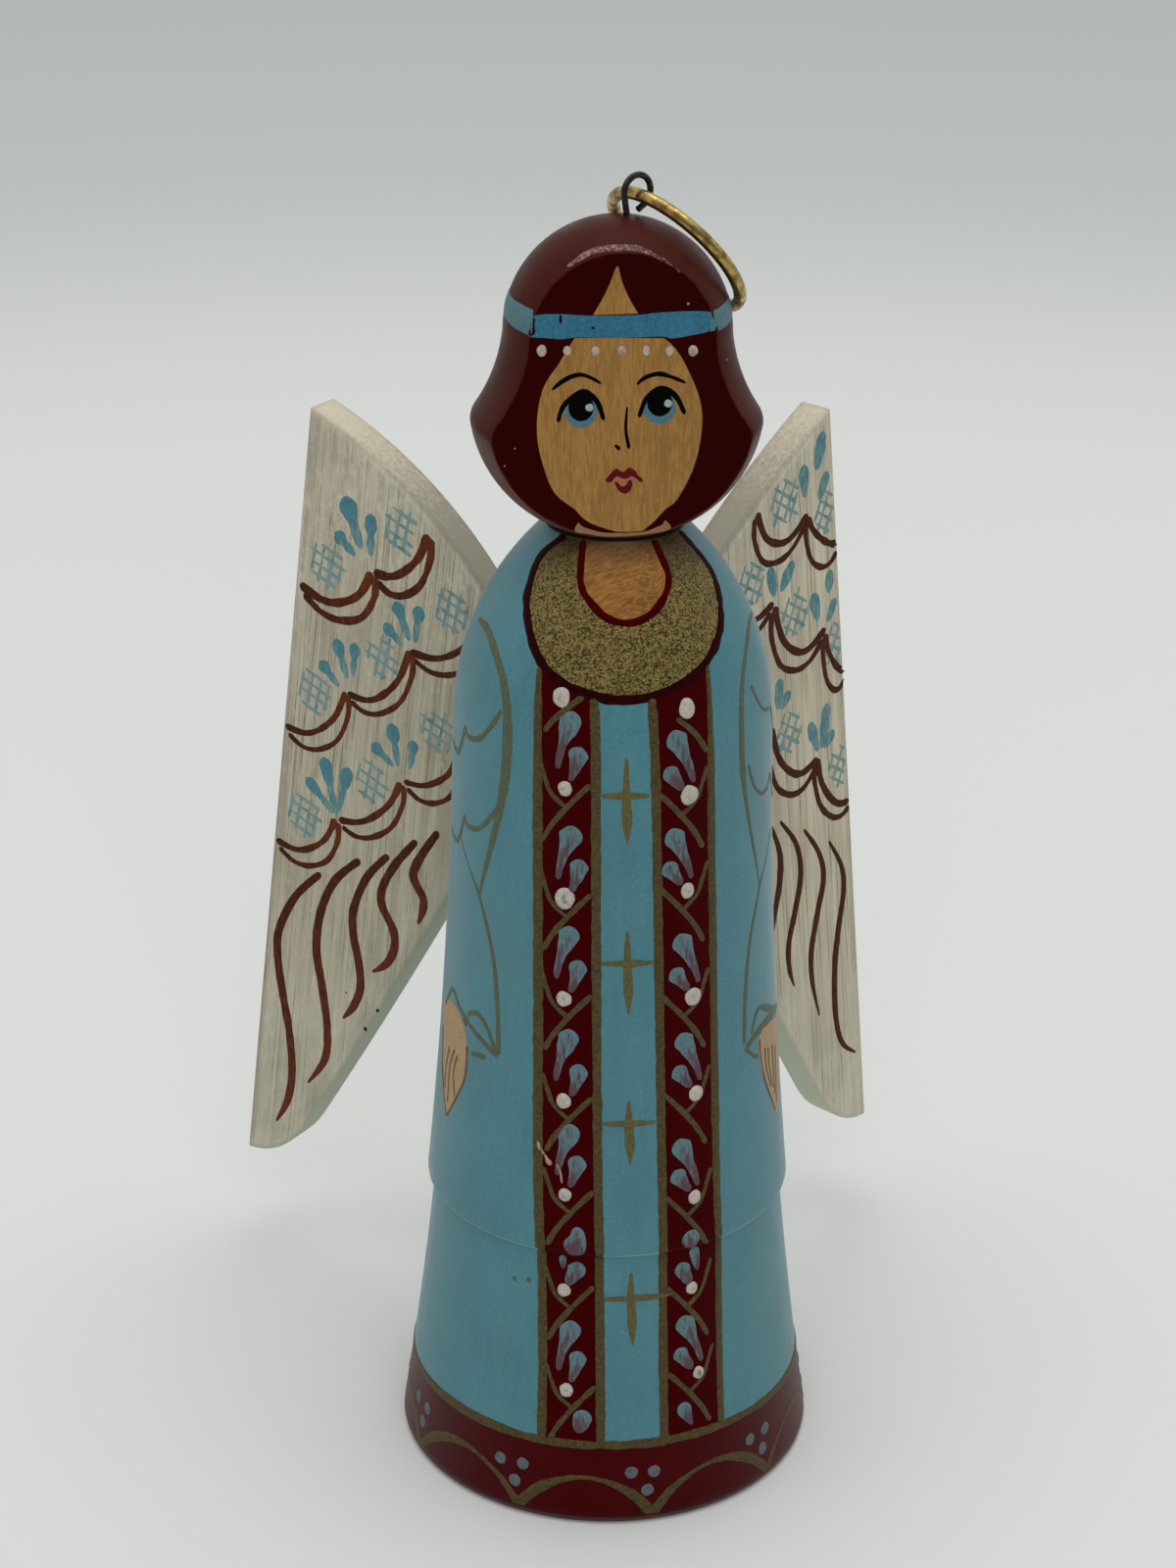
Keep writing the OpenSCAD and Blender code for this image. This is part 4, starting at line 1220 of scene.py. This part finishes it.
# World: bright above and behind, dim on the viewer's side
SKY_DIM, SKY_BRIGHT = 0.15, 0.72
SKY_SPAN = (-0.85, 0.35)
SKY_RISE = 0.7
world = bpy.data.worlds.new("studio")
bpy.context.scene.world = world
world.use_nodes = True
sky = Nodes(world.node_tree)
way = sky.add("ShaderNodeTexCoord").outputs["Generated"]
level = sky.blend((sky.axis(way, "Z"), SKY_RISE), (sky.axis(way, "Y"), 1))
light = world.node_tree.nodes["Background"]
sky.feed(light.inputs["Color"], (1, 1, 1, 1))
sky.feed(light.inputs["Strength"], sky.span(level, *SKY_SPAN, SKY_DIM, SKY_BRIGHT))

# Lamps: both of one size in m and one power in W, aimed at the middle of the figure
LIT_PLACE = Vector((0, 0, 0.06))
LAMP_SIZE = 0.9
LAMP_POWER = 4.8


def lamp(name, place, glossy=True):
    """Square soft light, seen in reflections or not."""
    data = bpy.data.lights.new(name, "AREA")
    data.shape = "SQUARE"
    data.size = LAMP_SIZE
    data.energy = LAMP_POWER
    thing = put(name, data)
    thing.location = place
    thing.rotation_euler = (LIT_PLACE - Vector(place)).to_track_quat("-Z", "Y").to_euler()
    thing.visible_glossy = glossy


lamp("overhead", (0.05, 0.1, 1.1))
lamp("front_fill", (-0.1, -1, 0.55), glossy=False)

# Camera: the photograph is taken to be 1200 by 1600
FRAME = (1200, 1600)
FOCAL = 3300
SENSOR = 36
FOOT_PIXEL = (616.3, 1432.8)
FOOT_DISTANCE = 0.3196
PITCH, ROLL, TURN = math.radians(23.19), math.radians(0.55), math.radians(7.2)
view = Matrix.Rotation(-TURN, 3, "Z")
right = Vector((1, 0, 0))
ahead = Vector((0, math.cos(PITCH), -math.sin(PITCH)))
up = Vector((0, math.sin(PITCH), math.cos(PITCH)))
right, up = right * math.cos(ROLL) + up * math.sin(ROLL), up * math.cos(ROLL) - right * math.sin(ROLL)
ray = right * (FOOT_PIXEL[0] - FRAME[0] / 2) / FOCAL - up * (FOOT_PIXEL[1] - FRAME[1] / 2) / FOCAL + ahead
right, up, ahead, ray = (view @ v for v in (right, up, ahead, ray.normalized()))
camera_data = bpy.data.cameras.new("camera")
camera_data.sensor_fit = "VERTICAL"
camera_data.sensor_height = SENSOR
camera_data.lens = SENSOR * FOCAL / FRAME[1]
camera_data.clip_start = 0.01
camera = put("camera", camera_data)
turn = Matrix((right, up, -ahead)).transposed().to_4x4()
camera.matrix_world = Matrix.Translation(-ray * FOOT_DISTANCE) @ turn
bpy.context.scene.camera = camera

bpy.context.scene.view_settings.view_transform = "Standard"
bpy.context.view_layer.update()
